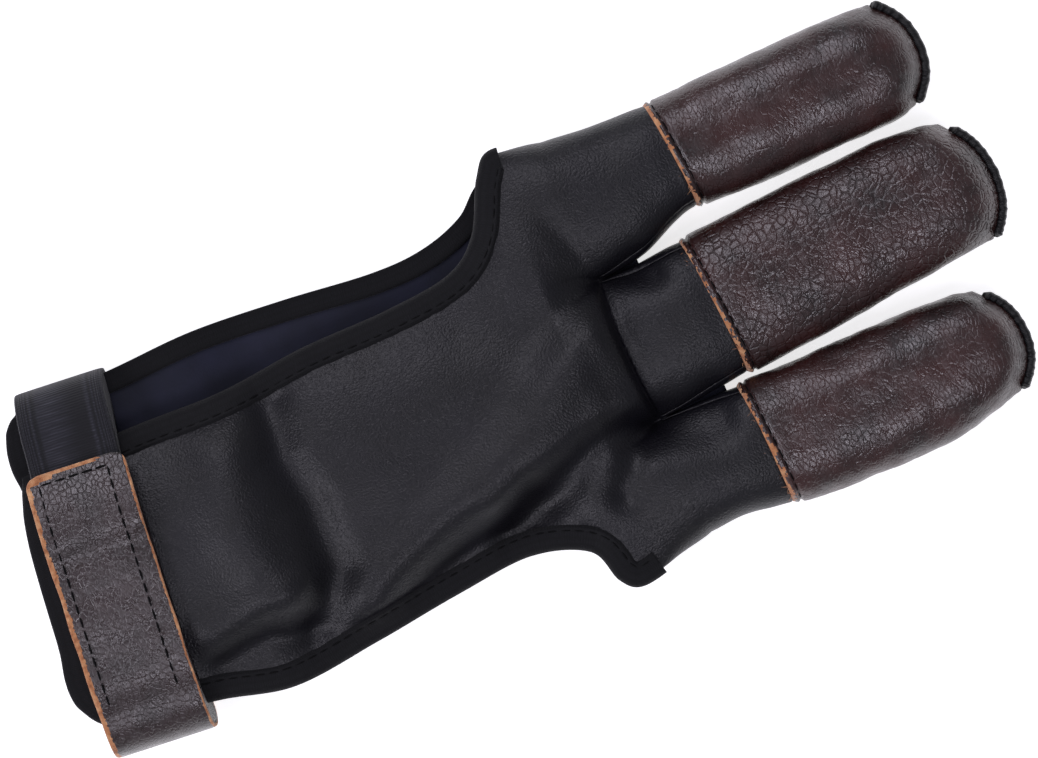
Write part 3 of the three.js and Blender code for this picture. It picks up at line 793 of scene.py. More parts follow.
@dataclass(frozen=True)
class RawEdge:
    """Cut flesh side of the cowhide: tan orange suede fibres, darker where dye ran in."""

    dark: str = "7a4a2f"
    middle: str = "b0764f"
    light: str = "d2a276"

    def build(self) -> Material:
        """Return the material."""
        material, tree = new_tree("Raw suede edge")
        vector = millimetres(tree, "Object")
        patches = add_node(tree, "TexNoise", {"Vector": vector, "Scale": 1 / 1.6, "Detail": 4.0})
        fibres = add_node(tree, "TexNoise", {"Vector": vector, "Scale": 1 / 0.3, "Detail": 3.0})
        return finished(material, bumped(tree, (fibres, 0.35, 0.8)), {
            "Base Color": add_node(tree, "ValToRGB", {"Fac": patches},
                                   stops=((0.25, self.dark), (0.45, self.middle), (0.75, self.light))),
            "Roughness": 0.95, "Sheen Weight": 0.3, "Specular IOR Level": 0.2})


@dataclass(frozen=True)
class BondedThread:
    """Bonded polyester sewing thread, twisted: black with a slight shine."""

    name: str = "Bonded black thread"
    dark: str = "020203"
    light: str = "060607"
    roughness: float = 0.8
    specular: float = 0.15

    def build(self) -> Material:
        """Return the material."""
        material, tree = new_tree(self.name)
        twist = add_node(tree, "TexWave", {
            "Vector": millimetres(tree, "Object"), "Scale": 1.1, "Distortion": 0.5},
            "Fac", bands_direction="DIAGONAL")
        colour = add_node(tree, "ValToRGB", {"Fac": twist}, stops=((0.2, self.dark), (0.9, self.light)))
        return finished(material, bumped(tree, (twist, 0.08, 0.5)), {
            "Base Color": colour, "Roughness": self.roughness, "Specular IOR Level": self.specular})


class Finishes:
    """The glove's materials, built once."""

    def __init__(self) -> None:
        """Build every finish."""
        self.synthetic = SyntheticLeather().build()
        self.lining = Lining().build()
        self.tape = KnitTape().build()
        self.elastic = WovenElastic().build()
        self.raw_edge = RawEdge().build()
        self.thread = BondedThread().build()
        self.cord = BondedThread("Black edge braid", "050506", "0e0e11", 0.5, 0.4).build()
        self.leather = {leather.grain: leather.build() for leather in (
            BrownLeather(Grain.WRINKLED, 1.1, (1.3, 0.5, 1.0), 20.0, 0.055, 0.25),
            BrownLeather(Grain.PEBBLED, 1.75, (1.0, 0.85, 1.0), 10.0, 0.12, 0.26),
            BrownLeather(Grain.CREASED, 1.05, (1.1, 0.6, 1.0), -25.0, 0.065, 0.25),
            BrownLeather(Grain.STRAP, 1.0, (1.0, 0.75, 1.0), 10.0, 0.07, 0.26,
                         dark="281d1e", light="3b3032", crack="2a1614"))}


# Stitches and fibres

def thread_place(start: Vector, end: Vector) -> Matrix:
    """Return the matrix that lays an upright form between two places in millimetres."""
    turn = (end - start).to_track_quat("Z", "Y").to_matrix().to_4x4()
    return Matrix.Translation(in_frame((start + end) * 0.5)) @ turn


def add_stitches(name: str, points: Sequence[Vector], material: Material, stitch: float, gap: float,
                 radius: float) -> None:
    """Add a row of stitches along a line, each a short rounded thread.

    Args:
        name: Name of the piece.
        points: Points of the line in millimetres.
        material: The thread's finish.
        stitch: Length of a stitch in millimetres.
        gap: Least gap between two stitches.
        radius: Half the thread's thickness.
    """
    line = Line(points)
    count = max(1, int(line.total // (stitch + gap)))
    pitch = line.total / count
    bm = bmesh.new()
    for number in range(count):
        start, end = line.at(number * pitch + gap / 2), line.at((number + 1) * pitch - gap / 2)
        size = Matrix.Diagonal((radius * MM, radius * MM, (end - start).length * 0.5 * MM, 1.0))
        bmesh.ops.create_uvsphere(bm, u_segments=8, v_segments=6, radius=1.0,
                                  matrix=thread_place(start, end) @ size)
    add_piece(name, bm, [material], Slot.EDGE_CORD)


def add_fibres(name: str, roots: Sequence[tuple[Vector, Vector]], material: Material, seed: int,
               length: Pair) -> None:
    """Add stray fibres that stand off a raw edge.

    Args:
        name: Name of the piece.
        roots: Foot and direction of each fibre in millimetres.
        material: The fibres' finish.
        seed: Seed of the fibres' shapes.
        length: Shortest and longest fibre.
    """
    rng = random.Random(seed)
    bm = bmesh.new()
    for point, away in roots:
        reach = rng.uniform(*length)
        heading = (away + Vector([rng.uniform(-0.7, 0.7) for _ in range(3)])).normalized()
        radius = rng.uniform(0.05, 0.09) * MM
        for step in range(3):
            ahead = point + heading * reach / 3
            bmesh.ops.create_cone(bm, cap_ends=True, segments=4, radius1=radius * (1 - step * 0.25),
                                  radius2=radius * (0.75 - step * 0.25), depth=reach / 3 * MM * 1.05,
                                  matrix=thread_place(point, ahead))
            point = ahead
            heading = (heading + Vector([rng.uniform(-0.5, 0.5) for _ in range(3)])).normalized()
    add_piece(name, bm, [material], Slot.BROWN_LEATHER)


# Pieces of the glove

def waves(point: Vector, size: float, seed: float = 0.0) -> float:
    """Return a soft random value at a place, with waves of about a size."""
    return noise.noise(Vector((point.x / size + seed, point.y / size, point.z / size)))


def drawn_in(point: Vector) -> float:
    """Return how far the front is drawn sideways at a place, where a crotch gathers it."""
    total = 0.0
    for middle, reach in FORM.crotches:
        offset = point.y - middle
        ease = smooth((point.x + 7.0) / 7.0) * (1.0 - smooth(point.x / reach))
        beyond = abs(offset) - FORM.crotch_half
        share = bell(beyond, 3.0) if beyond > 0 else abs(offset) / FORM.crotch_half
        total -= math.copysign(FORM.crotch_pinch * ease * share, offset)
    return total


def dressed(point: Vector, fade: float) -> Vector:
    """Return a point of the glove's front with its folds, gathers and small waves."""
    lift = sum(fold.height(point.x, point.y) for fold in FORM.folds)
    lift += 0.45 * waves(point, 15.0) + 0.06 * waves(point, 5.0, 7.0)
    return point + Vector((0.0, drawn_in(point), lift * fade))


def rested(point: Vector) -> Vector:
    """Return a point held above the surface that the glove lies on."""
    return Vector((point.x, point.y, max(point.z, FORM.floor_gap)))


def rounded_loop(turn: float, half_width: float, half_height: float, power: float = 0.35) -> Vector:
    """Return a point of a flat rounded section at a share of its loop, counted from its right end."""
    angle = 2 * math.pi * turn
    return Vector((signed_power(math.cos(angle), power) * half_width,
                   signed_power(math.sin(angle), power) * half_height))


@dataclass
class HandPanels:
    """Front and back panels of black synthetic leather, with their finger halves."""

    finishes: Finishes
    rows: int = 210
    per_column: int = 7
    stub_rows: int = 44
    seam_dip: float = 2.2
    seam_spread: float = 1.1
    seam_blend: float = 6.0
    seam_step: float = 1.1
    roll: float = 0.05
    roll_spread: float = 0.15
    webs: Pair = (9.2, 15.4)

    def across_middle(self, column: float) -> float:
        """Return the share of the way across the middle finger at a column."""
        return (column - FORM.first_column(1)) / (FORM.columns[1] - 1)

    def seam_edge(self, across: float) -> float:
        """Return how much of the crease seam's fall a place across the finger gets."""
        return smooth((min(across, 1.0 - across) + 0.1) / 0.2)

    def free_edge(self, column: float) -> float:
        """Return how much of the folds a column keeps, less towards the panel's free edges."""
        return smooth(0.25 + min(column, FORM.last_column - column) / 1.6)

    def front(self, along: float, column: float) -> Vector:
        """Return a point of the palm between the wrist and the knuckle line."""
        point = FORM.body(FRONT, along, column)
        across = self.across_middle(column)
        if -0.1 < across < 1.1 and along > 0.85:
            distance = (1.0 - along) * FORM.palm_length
            point.z -= self.seam_dip * bell(distance, self.seam_spread) * self.seam_edge(across)
        return dressed(point, self.free_edge(column))

    def front_stub(self, number: int, distance: float, column: float) -> Vector:
        """Return a point of a finger's front half beyond the knuckle line."""
        if distance < 1e-4:
            return self.front(1.0, column)
        inside = column - FORM.first_column(number)
        seams = [inside] if number > 0 else []
        seams += [FORM.columns[number] - 1 - inside] if number < 2 else []
        rolled = max(self.roll * bell(seam, self.roll_spread) for seam in seams)
        angle = FORM.column_angle(column)[1]
        point = FORM.stub_point(FORM.fingers[number], distance, angle, rolled * smooth(distance / 1.5))
        if number == 1:
            across = self.across_middle(column)
            point.x -= (FORM.crease_dip * math.sin(math.pi * across)
                        * (1.0 - smooth(distance / self.seam_blend)))
            low = (self.seam_step * bell(distance, self.seam_blend)
                   + (self.seam_dip - self.seam_step) * bell(distance, self.seam_spread))
            point.z -= low * self.seam_edge(across)
        folded = 1.0 - smooth((distance - 11.0) / 7.0)
        return dressed(point, self.free_edge(column) * folded)

    def back_stub(self, number: int, distance: float, column: float) -> Vector:
        """Return a point of a finger's back half beyond the knuckle line."""
        if distance < 1e-4:
            return FORM.body(BACK, 1.0, column)
        return FORM.stub_point(FORM.fingers[number], distance, -FORM.column_angle(column)[1])

    def stub(self, number: int, place: Callable[[int, float, float], Vector], flip: bool) -> Mesh:
        """Return the grid of a finger's half."""
        finger = FORM.fingers[number]
        first, steps = FORM.first_column(number), FORM.columns[number] - 1
        end = FORM.stub_end(finger)
        return sheet_mesh(self.stub_rows, steps * self.per_column,
                          lambda u, v: place(number, end * u, first + v * steps), (end, finger.width), flip)

    def web(self, number: int) -> Mesh:
        """Return the grid of the back between two fingers."""
        near, reach = FORM.first_column(number + 1) - 1, self.webs[number]

        def place(along: float, across: float) -> Vector:
            if along < 1e-4:
                return FORM.body(BACK, 1.0, near + across)
            first = self.back_stub(number, along * reach, float(near))
            return first.lerp(self.back_stub(number + 1, along * reach, near + 1.0), across)

        return sheet_mesh(12, self.per_column, place, (reach, 6.0))

    def build(self) -> None:
        """Build the panels."""
        last, columns = FORM.last_column, FORM.last_column * self.per_column
        size = (FORM.palm_length, FORM.knuckle_width)
        palm = sheet_mesh(self.rows, columns, lambda u, v: self.front(1.0 - (1.0 - u) ** 1.25, v * last),
                          size, True)
        stubs = [self.stub(number, self.front_stub, True) for number in (0, 2)]
        self.add_panel("Palm_panel", joined([palm, *stubs], 2e-6), "palm_panel")
        self.add_panel("Middle_finger_front", self.stub(1, self.front_stub, True), "middle_front_panel")
        back = sheet_mesh(self.rows // 2, columns, lambda u, v: FORM.body(BACK, u, v * last), size)
        stubs = [self.stub(number, self.back_stub, False) for number in (0, 1, 2)]
        webs = [self.web(number) for number in (0, 1)]
        self.add_panel("Back_panel", joined([back, *stubs, *webs], 2e-6), "back_panel")

    def add_panel(self, name: str, bm: Mesh, node: str) -> None:
        """Add a panel with its wall, lined on the inside."""
        add_piece(name, bm, [self.finishes.synthetic, self.finishes.lining], Slot.BLACK_SYNTHETIC, node,
                  FORM.synthetic)


@dataclass
class Gusset:
    """Strip of black synthetic leather between two fingers, round their crotch."""

    panels: HandPanels
    number: int
    shoulder: float = 0.8
    crossing: float = 0.42
    last: float = 6.0
    steps: int = 100

    def distance(self, finger: Finger, foot: float, step: float) -> float:
        """Return the distance of a leg's row, or of a place between two rows, above its foot."""
        narrow, end = FORM.narrow_end(finger), FORM.stub_end(finger)
        rows = [end, (end + narrow) / 2, narrow]
        rows += [lerp(foot, narrow - self.shoulder, number / 3) for number in (3, 2, 1, 0)]
        number = min(int(step), len(rows) - 2)
        return lerp(rows[number], rows[number + 1], step - number)

    def leg(self, side: int, step: float, drop: float) -> Vector:
        """Return a point of a leg at a row and a drop from front to back."""
        finger = FORM.fingers[self.number + side]
        seam = math.radians(FORM.seam_angle)
        angle = lerp(seam, -seam, drop)
        top = self.distance(finger, 0.0, step)
        bottom = self.distance(finger, self.panels.webs[self.number], step)
        reach = lerp(top, bottom, 1.0 - math.cos(drop * math.pi / 2))
        return FORM.stub_point(finger, reach, math.pi - angle if side == 0 else angle)

    def front_edge(self, side: int, step: float, across: float) -> Vector:
        """Return the place of the front panel's edge that the strip is sewn to."""
        column = float(FORM.first_column(self.number + 1) - 1)
        if step >= self.last:
            return self.panels.front(1.0, column + across)
        distance = self.distance(FORM.fingers[self.number + side], 0.0, step)
        return self.panels.front_stub(self.number + side, distance, column + side)

    def place(self, along: float, drop: float) -> Vector:
        """Return a point of the strip, from the near finger round to the far one."""
        side = 0 if along < 0.5 else 1
        step = self.last * min(1.0, min(along, 1.0 - along) / self.crossing)
        across = min(1.0, max(0.0, (along - self.crossing) / (1.0 - 2.0 * self.crossing)))

        def plain(depth: float) -> Vector:
            if step < self.last:
                return self.leg(side, step, depth)
            return self.leg(0, self.last, depth).lerp(self.leg(1, self.last, depth), across)

        return plain(drop) + (self.front_edge(side, step, across) - plain(0.0)) * (1.0 - drop) ** 2

    def build(self) -> None:
        """Build the strip."""
        names = "_".join(finger.name for finger in FORM.fingers[self.number:self.number + 2])
        bm = sheet_mesh(self.steps, 16, self.place, (60.0, 8.0))
        self.panels.add_panel(f"Gusset_{names}", bm, f"gusset_{names}")


@dataclass
class FingerTip:
    """Brown leather end over a finger, with its raw base edge and its end band."""

    finishes: Finishes
    finger: Finger
    grain: Grain
    relief_mm: float
    crease_mm: float
    crease_size: float
    seed: float
    band_start: float = 0.07
    band_end: float = 0.93
    raw_width: float = 1.8
    swell: float = 0.25
    band_width: float = 2.3
    band_fit: float = 0.64
    stitch_inset: float = 2.5
    inner_part: float = 0.2
    edge_part: float = 0.13
    edge_length: float = 3.6

    @property
    def span(self) -> float:
        """Return the length of the leather along the finger."""
        return self.finger.length - FORM.reach - self.finger.tip_base

    def outside(self, share: float, angle: float) -> Vector:
        """Return a point of the grain side, with its folds and its rounded base edge."""
        distance = share * self.span
        left = self.span - distance
        edge = max(0.0, 1.0 - distance / self.raw_width)
        inset = FORM.leather * 0.8 * edge ** 1.6 - self.swell * (1.0 - edge)
        point = FORM.tip_point(self.finger, share, angle, inset)
        lift = self.relief_mm * (waves(point, 8.0, self.seed) + 0.3 * waves(point, 3.5, 4.0))
        valley = 1.0 - min(1.0, abs(waves(point, self.crease_size, self.seed)) * 3.0)
        lift -= self.crease_mm * valley ** 2
        lift -= 0.4 * bell(left - 1.2, 0.8) + 0.6 * bell(distance - self.stitch_inset, 0.4)
        away = Vector((0.0, math.cos(angle), math.sin(angle)))
        return rested(point + away * lift * smooth((left - 0.5) / 3.0) * smooth(distance / 2.2))

    def place(self, turn: float, loop: float) -> Vector:
        """Return a point of the closed skin: the inside towards the base, then the outside."""
        angle = 2 * math.pi * turn
        if loop < self.inner_part:
            return rested(FORM.tip_point(self.finger, 1.0 - loop / self.inner_part, angle, FORM.leather))
        share = (loop - self.inner_part) / (1.0 - self.inner_part)
        near = self.edge_length / self.span
        if share < self.edge_part:
            return self.outside(share / self.edge_part * near, angle)
        return self.outside(lerp(near, 1.0, (share - self.edge_part) / (1.0 - self.edge_part)), angle)

    def build(self) -> None:
        """Build the tip with its stitches, fibres and end band."""
        bm = closed_mesh(168, 130, self.place, (90.0, 60.0))
        self.mark_raw(bm)
        name = self.finger.name.capitalize()
        add_piece(f"{name}_tip", bm, [self.finishes.leather[self.grain], self.finishes.raw_edge],
                  Slot.BROWN_LEATHER, f"{self.finger.name}_tip")
        band = closed_mesh(220, 28, self.band_place, (self.finger.width * 1.3, 9.0))
        add_piece(f"{name}_end_band", band, [self.finishes.cord], Slot.EDGE_CORD,
                  f"{self.finger.name}_tip_binding")
        share = self.stitch_inset / self.span
        points = [self.outside(share, lerp(0.10, 0.90, n / 80) * math.pi) for n in range(81)]
        add_stitches(f"{name}_seam_stitches", points, self.finishes.thread, 2.4, 0.35, 0.25)
        rng = random.Random(int(self.seed * 10))
        roots = []
        for _ in range(26):
            angle = rng.uniform(0.12, 0.88) * math.pi
            roots.append((self.outside(rng.uniform(0.0, 0.9) / self.span, angle),
                          Vector((rng.uniform(-1.4, 0.1), rng.uniform(-0.7, 0.7), 0.25))))
        add_fibres(f"{name}_edge_fibres", roots, self.finishes.raw_edge, int(self.seed), (0.6, 1.7))

    def mark_raw(self, bm: Mesh) -> None:
        """Give the faces at the base edge the raw suede finish, with a ragged border."""
        for face in bm.faces:
            centre = face.calc_center_median() / MM - FRAME_SHIFT
            middle = self.finger.section(centre.x, 1) * FORM.knuckle_width
            across = max(-1.0, min(1.0, (centre.y - middle) / (self.finger.width / 2)))
            distance = centre.x - self.finger.tip_base - self.finger.base_slant * across
            ragged = 0.75 + 0.5 * noise.noise(centre * 0.55) + 0.35 * noise.noise(centre * 2.1)
            if distance < max(0.8, self.raw_width * ragged):
                face.material_index = 1

    def band_place(self, along: float, turn: float) -> Vector:
        """Return a point of the sewn band round the end seam."""
        middle = FORM.tip_point(self.finger, 1.0, math.pi / 2).z
        base = FORM.tip_point(self.finger, 1.0, -math.pi / 2).z
        height = (middle - base) / 2 + FORM.reach * 0.75
        half_width = (self.band_width + FORM.reach) / 2 * self.band_fit
        loop = 2 * math.pi * turn
        taper = 0.35 + 0.65 * smooth(min(along, 1 - along) / 0.06)
        slant = math.sin(2 * math.pi * along * self.finger.width * 1.2 / self.band_width + loop)
        swell = 1.0 + 0.06 * slant + 0.10 * noise.noise(Vector((along * 30, turn * 3, self.seed)))
        outwards = signed_power(math.cos(loop), 0.7) * half_width * swell * taper
        point = FORM.tip_point(self.finger, 1.0, lerp(self.band_start, self.band_end, along) * math.pi, 0.0,
                               outwards + FORM.reach + 0.5 - half_width)
        point.z = (middle + base) / 2 + signed_power(math.sin(loop), 0.75) * height * swell * taper
        return point


@dataclass
class EdgeTape:
    """Knitted tape folded over a long edge of a panel, with its stitch line."""

    finishes: Finishes
    name: str
    node: str
    facing: float
    number: int
    skin: BVHTree
    start: float = 0.035
    end: float = 0.935
    width: float = 5.6
    stitch_inset: float = 1.3
    steps: int = 260

    def skin_height(self, x: float, y: float) -> float:
        """Return the height of the panel's outside at a place."""
        above = in_frame(Vector((x, y, 60.0 * self.facing)))
        hit = self.skin.ray_cast(above, Vector((0.0, 0.0, -self.facing)))[0]
        if hit is None:
            hit = self.skin.find_nearest(in_frame(Vector((x, y, 8.0))))[0]
        return hit.z / MM

    def at(self, along: float, inset: float, lift: float) -> Vector:
        """Return a point of the tape, an inset from the glove's outline and a lift off the panel."""
        share = lerp(self.start, self.end, along)
        edge = FORM.edge(self.facing, self.number)
        inward = edge.inward(share, 1.0 if self.number == THUMB_SIDE else -1.0)
        foot = edge.at(share)
        held = foot + inward * max(inset, FORM.reach + 0.5)
        drop = max(0.0, 1.0 - inset / 1.6) ** 2 * 0.7
        height = self.skin_height(held.x, held.y) + self.facing * (lift - drop)
        return Vector((*(foot + inward * inset), height))

    def place(self, along: float, turn: float) -> Vector:
        """Return a point of the tape's closed section."""
        loop = rounded_loop(turn, self.width / 2, (FORM.synthetic + 2 * FORM.reach) / 2, 0.4)
        inset, lift = self.width / 2 - loop.x, loop.y - FORM.synthetic / 2
        if lift <= 0:
            return self.at(along, inset, lift)
        lift *= smooth((self.width - inset) / 0.9)
        lift -= 0.5 * bell(self.width - self.stitch_inset - inset, 0.45)
        point = self.at(along, inset, lift)
        wave = 0.16 * waves(point, 2.3, 5.0) if lift > 0 else 0.0
        return point + Vector((0.0, 0.0, self.facing * wave))

    def build(self) -> None:
        """Build the tape and its stitches."""
        inner = Line([self.at(n / self.steps, 3.0, 0.0) for n in range(self.steps + 1)])
        add_piece(self.name, closed_mesh(self.steps, 40, self.place, (inner.total, 18.0)),
                  [self.finishes.tape], Slot.KNIT_TAPE, self.node)
        line = [self.at(n / 200, self.width - self.stitch_inset, FORM.reach - 0.48) for n in range(2, 199)]
        add_stitches(f"{self.name}_stitches", line, self.finishes.thread, 2.2, 0.7, 0.2)


@dataclass
class WristTape:
    """Knitted tape folded over a panel's wrist edge."""

    finishes: Finishes
    name: str
    node: str
    facing: float

    def place(self, across: float, turn: float) -> Vector:
        """Return a point of the tape's closed section."""
        half = FORM.binding / 2
        loop = rounded_loop(turn, half + FORM.reach / 2, (FORM.synthetic + 2 * FORM.reach) / 2)
        inset = half - FORM.reach / 2 - loop.x
        length = FORM.edge(self.facing, THUMB_SIDE).line().total
        point = FORM.body(self.facing, max(0.0, inset) / length, lerp(-0.45, FORM.last_column + 0.25, across))
        taper = 0.3 + 0.7 * smooth(min(across, 1.0 - across) / 0.03)
        point.x += min(0.0, inset) * taper
        point.z += taper * loop.y - self.facing * FORM.synthetic / 2
        return point

    def build(self) -> None:
        """Build the tape."""
        add_piece(self.name, closed_mesh(150, 28, self.place, (60.0, 18.0)), [self.finishes.tape],
                  Slot.KNIT_TAPE, self.node)


@dataclass
class WristStrap:
    """Wrist strap: a leather tab over an elastic band that runs round under the glove."""

    finishes: Finishes
    skin: BVHTree
    tab_width: float = 22.0
    elastic_width: float = 19.6
    place_along: float = 17.8
    slant: float = 0.107
    bend: float = 0.0012
    bend_start: float = 8.0
    top: float = 21.6
    overlap: float = 12.0
    thumb_slack: float = 1.9
    little_slack: float = 5.9
    fold: float = 2.0
    closure: float = 12.0
    corner: float = 2.6
    rib: float = 1.1
    edge_rib: float = 1.6
    edge_rib_place: float = 8.2
    left_seam: float = 2.9
    right_seam: float = 4.1
    seam_end: int = 130
    share: float = 0.13
    steps: int = 230

    @property
    def outer_edge(self) -> float:
        """Return where the glove's front ends at the little finger's side."""
        return FORM.edge(FRONT, LITTLE_SIDE).at(self.share).y + FORM.reach

    def centre(self, place: float) -> float:
        """Return where the strap's middle line lies along the glove, at a place across it."""
        bend = self.bend * max(0.0, place - self.bend_start) ** 2
        return -FORM.palm_length + self.place_along + self.slant * (place - self.top) + bend

    def under(self, place: float) -> float:
        """Return the height that the glove's front holds the strap at."""
        highest = 0.0
        for step in range(-3, 4):
            across = step * (self.tab_width / 2 + 1.5) / 3
            for side in (-3.0, 0.0, 3.0):
                point = in_frame(Vector((self.centre(place) + across, place + side, 60.0)))
                hit = self.skin.ray_cast(point, Vector((0.0, 0.0, -1.0)))[0]
                highest = max(highest, hit.z / MM if hit is not None else 0.0)
        return highest + FORM.reach + FORM.clearance

    def band_point(self, points: Sequence[Vector], number: int, across: float, away: float) -> Vector:
        """Return a point of a band, across it and away from its middle."""
        before, after = points[max(0, number - 1)], points[min(len(points) - 1, number + 1)]
        along = (after - before).normalized()
        place = points[number] + Vector((-along.y, along.x)) * -away
        return Vector((self.centre(place.x) + across, place.x - self.slant * across, place.y))

    def tab_path(self) -> list[Pair]:
        """Return the path of the leather tab: place across the glove and height."""
        rise = FORM.elastic + FORM.clearance
        edge = self.outer_edge
        path = []
        for number in range(12):
            place = lerp(self.top, edge + 4.0, number / 11)
            raised = rise * smooth((place - self.top + self.overlap + 6.0) / 4.0)
            path.append((place, self.under(place) + FORM.strap / 2 + raised))
        high, low = path[-1][1], FORM.strap / 2
        outer = edge - self.little_slack + low
        return path + [(edge - 0.3, high - 1.0), (lerp(edge, outer, 0.75), lerp(high, low, 0.2)),
                       (outer, lerp(high, low, 0.45)), (outer, lerp(high, low, 0.8)), (outer + self.fold, low),
                       (outer + 2 * self.fold, low), (outer + 2 * self.fold + self.closure, low)]

    def elastic_path(self) -> list[Pair]:
        """Return the path of the elastic band: place across the glove and height."""
        low = FORM.elastic / 2
        thumb = FORM.edge(FRONT, THUMB_SIDE).at(self.share).y
        outer = FORM.edge(BACK, THUMB_SIDE).at(self.share).y + self.thumb_slack - low
        high = self.under(thumb - 0.3) + low
        little = self.outer_edge - self.little_slack + FORM.strap / 2 + 2 * self.fold
        end = little + self.closure
        closed = FORM.strap + FORM.clearance + low
        start = [lerp(self.top - self.overlap, thumb, number / 4) for number in range(5)]
        return [(place, self.under(place) + low) for place in start] + [
            (lerp(thumb, outer, 0.5), high - 1.2), (lerp(thumb, outer, 0.85), lerp(high, low, 0.25)),
            (outer, lerp(high, low, 0.5)), (outer, lerp(high, low, 0.8)), (outer - self.fold, low),
            (outer - 2 * self.fold, low), (lerp(outer, end, 0.5), low), (end + 8.0, low),
            (end + 2.0, closed), (end, closed), (little + 0.3, closed)]

    def leather_swell(self, point: Vector, _loop: Vector) -> Vector:
        """Return how far the leather swells at a point."""
        return Vector((0.25 * waves(point, 7.0), 0.0, 0.5 * waves(point, 9.0) + 0.12 * waves(point, 3.0)))

    def elastic_swell(self, point: Vector, loop: Vector) -> Vector:
        """Return how far the elastic swells at a point, with its ribs."""
        ribs = 0.07 * math.cos(2 * math.pi * loop.x / self.rib)
        if abs(loop.x) > self.edge_rib_place - self.rib:
            ribs += 0.16 * math.cos(2 * math.pi * (abs(loop.x) - self.edge_rib_place) / self.edge_rib)
        return Vector((0.2 * waves(point, 9.0), 0.0, 0.4 * waves(point, 10.0) + math.copysign(ribs, loop.y)))

    def band(self, path: Sequence[Pair], width: float, thickness: float, columns: int, corner: float,
             swell: Callable[[Vector, Vector], Vector]) -> tuple[Mesh, list[Vector]]:
        """Return a band of even thickness along a path, and its even middle points.

        Args:
            path: Places across the glove and heights of its middle.
            width: Width of the band.
            thickness: Thickness of the band.
            columns: Faces round its section.
            corner: Radius of the corners at its start.
            swell: How far the surface swells, at a point and a place of the section.
        """
        line = Line.curve(path, 12)
        points = [line.at(line.total * step / self.steps) for step in range(self.steps + 1)]
        length = Line(points).total

        def place(along: float, turn: float) -> Vector:
            loop = rounded_loop(turn, width / 2, thickness / 2, 0.22)
            left = max(0.0, corner - along * length)
            cut = corner - math.sqrt(max(0.0, corner ** 2 - left ** 2))
            across = loop.x * (1.0 - 2 * cut / width)
            point = self.band_point(points, round(along * self.steps), across, loop.y)
            return rested(point + swell(point, loop))

        return closed_mesh(self.steps, columns, place, (length, 45.0)), points

    def mark_raw(self, bm: Mesh) -> None:
        """Give the faces at the tab's cut edges the raw suede finish, with a ragged border."""
        for face in bm.faces:
            centre = face.calc_center_median() / MM - FRAME_SHIFT
            across = centre.x - self.centre(centre.y)
            ragged = 0.5 * noise.noise(centre * 0.6) + 0.35 * noise.noise(centre * 1.9)
            left = across + self.tab_width / 2 < 0.9 + ragged * 0.5
            right = self.tab_width / 2 - across < 0.35 + ragged * 0.3
            if left or right or centre.y > self.top - 0.55 - ragged * 0.3:
                face.material_index = 1

    def build(self) -> None:
        """Build the tab, its stitches and the elastic."""
        tab, points = self.band(self.tab_path(), self.tab_width, FORM.strap, 90, self.corner,
                                self.leather_swell)
        self.mark_raw(tab)
        add_piece("Leather_tab", tab, [self.finishes.leather[Grain.STRAP], self.finishes.raw_edge],
                  Slot.BROWN_LEATHER, "leather_strap")
        elastic, _ = self.band(self.elastic_path(), self.elastic_width, FORM.elastic, 120, 0.0,
                               self.elastic_swell)
        add_piece("Elastic_band", elastic, [self.finishes.elastic], Slot.WOVEN_ELASTIC, "elastic_band")
        lift = FORM.strap / 2 + 0.05
        left, right = self.left_seam - self.tab_width / 2, self.tab_width / 2 - self.right_seam
        upper = [n for n in range(self.seam_end) if points[n].x < self.top - 2.0]
        lines = {side: [self.band_point(points, n, across, lift) for n in upper]
                 for side, across in (("left", left), ("right", right))}
        lines["top"] = [self.band_point(points, upper[0], lerp(left + 0.1, right, n / 20), lift)
                        for n in range(21)]
        for label, line in lines.items():
            add_stitches(f"Tab_stitches_{label}", line, self.finishes.thread, 2.4, 0.5, 0.25)


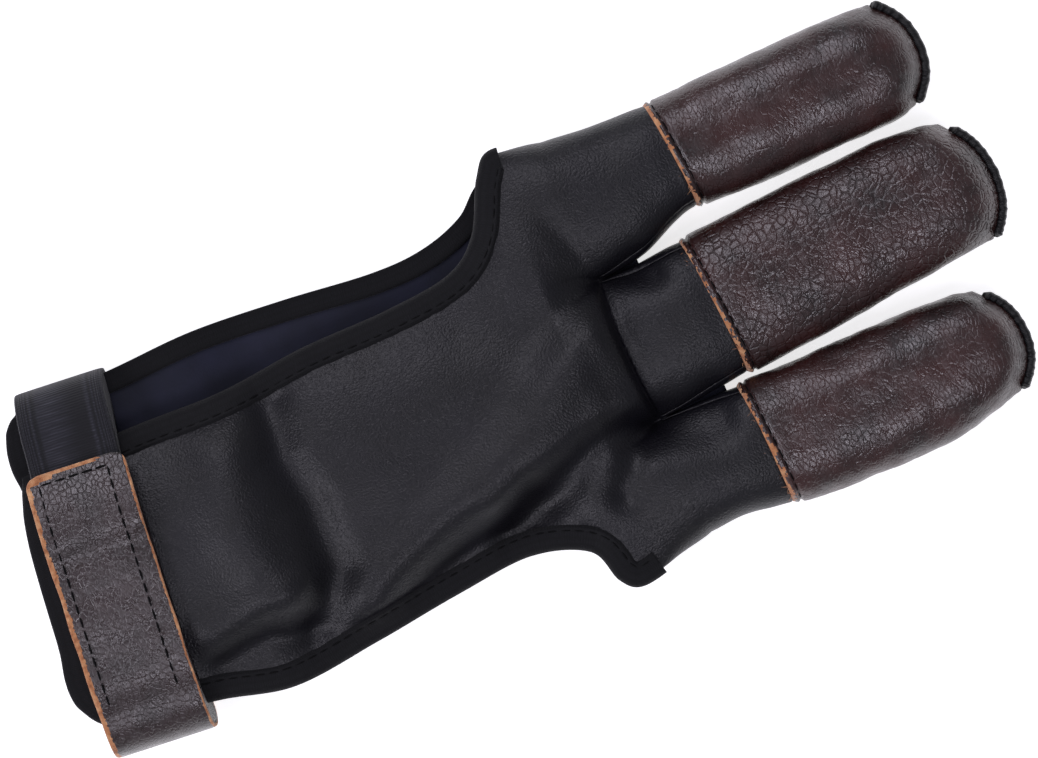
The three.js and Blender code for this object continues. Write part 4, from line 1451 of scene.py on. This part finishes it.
@dataclass
class Studio:
    """Plain pale floor, soft lights and the camera straight above."""

    look_at: Pair = (1.432, 1.648)
    height: float = 0.9
    view_width: float = 221.6
    focus_height: float = 12.0
    sensor_width: float = 36.0
    turn: float = -24.0

    def build(self) -> None:
        """Build the studio."""
        scene = bpy.context.scene
        self.add_floor()
        scene.world = bpy.data.worlds.new("Pale room")
        scene.world.use_nodes = True
        background = scene.world.node_tree.nodes["Background"]
        background.inputs["Color"].default_value = srgb("f3f4ff")
        background.inputs["Strength"].default_value = 0.30
        self.add_light("Key softbox", (-0.05, -0.55, 1.3), 0.45, 4.2)
        self.add_light("Top softbox", (-0.1, 1.0, 1.2), 0.8, 7.6)
        self.add_light("Side softbox", (-1.1, -0.1, 0.9), 0.7, 7.0)
        self.add_camera()
        scene.view_settings.view_transform = "Standard"

    def add_floor(self) -> None:
        """Add the floor, which glows a little so that the ground stays white."""
        material, tree = new_tree("Pale studio floor")
        shader = add_node(tree, "BsdfPrincipled", {
            "Base Color": srgb("f4f4f4"), "Emission Color": srgb("ffffff"), "Emission Strength": 0.7,
            "Roughness": 0.8, "Specular IOR Level": 0.2})
        add_node(tree, "OutputMaterial", {"Surface": shader})
        bm = bmesh.new()
        bmesh.ops.create_grid(bm, x_segments=1, y_segments=1, size=2.0)
        mesh = bpy.data.meshes.new("Floor")
        bm.to_mesh(mesh)
        bm.free()
        mesh.materials.append(material)
        floor = bpy.data.objects.new("Floor", mesh)
        bpy.context.scene.collection.objects.link(floor)

    def add_light(self, name: str, place: tuple[float, float, float], size: float, power: float) -> None:
        """Add a square softbox that faces the glove."""
        data = bpy.data.lights.new(name, "AREA")
        data.size = size
        data.energy = power
        data.color = srgb("f6f2ff")[:3]
        light = bpy.data.objects.new(name, data)
        light.location = place
        light.rotation_euler = (-Vector(place)).to_track_quat("-Z", "Y").to_euler()
        bpy.context.scene.collection.objects.link(light)

    def add_camera(self) -> None:
        """Add the camera over the glove, turned as in the photograph."""
        data = bpy.data.cameras.new("Camera")
        data.sensor_width = self.sensor_width
        data.lens = self.sensor_width * (self.height / MM - self.focus_height) / self.view_width
        camera = bpy.data.objects.new("Camera", data)
        camera.location = (self.look_at[0] * MM, self.look_at[1] * MM, self.height)
        camera.rotation_euler = (0.0, 0.0, math.radians(self.turn))
        bpy.context.scene.collection.objects.link(camera)
        bpy.context.scene.camera = camera


def skin_tree(name: str) -> BVHTree:
    """Return the search tree of a piece's outside."""
    bm = bmesh.new()
    bm.from_mesh(bpy.data.objects[name].data)
    tree = BVHTree.FromBMesh(bm)
    bm.free()
    return tree


def main() -> None:
    """Build the glove and its studio."""
    logging.basicConfig(level=logging.INFO, format="%(message)s")
    finishes = Finishes()
    panels = HandPanels(finishes)
    panels.build()
    for number in (0, 1):
        Gusset(panels, number).build()
    FingerTip(finishes, INDEX, Grain.WRINKLED, 0.32, 0.05, 2.6, 1.7).build()
    FingerTip(finishes, MIDDLE, Grain.PEBBLED, 0.28, 0.03, 3.0, 5.3, band_start=0.16).build()
    FingerTip(finishes, RING, Grain.CREASED, 0.50, 0.07, 3.2, 9.1, band_start=0.16).build()
    palm, back = skin_tree("Palm_panel"), skin_tree("Back_panel")
    EdgeTape(finishes, "Front_thumb_tape", "front_thumb_binding", FRONT, THUMB_SIDE, palm).build()
    EdgeTape(finishes, "Front_little_finger_tape", "front_little_binding", FRONT, LITTLE_SIDE, palm,
             end=0.91).build()
    EdgeTape(finishes, "Back_thumb_tape", "back_thumb_binding", BACK, THUMB_SIDE, back, width=4.7).build()
    EdgeTape(finishes, "Back_little_finger_tape", "back_little_binding", BACK, LITTLE_SIDE, back).build()
    WristTape(finishes, "Front_wrist_tape", "front_wrist_binding", FRONT).build()
    WristTape(finishes, "Back_wrist_tape", "back_wrist_binding", BACK).build()
    WristStrap(finishes, palm).build()
    Studio().build()


if __name__ == "__main__":
    main()
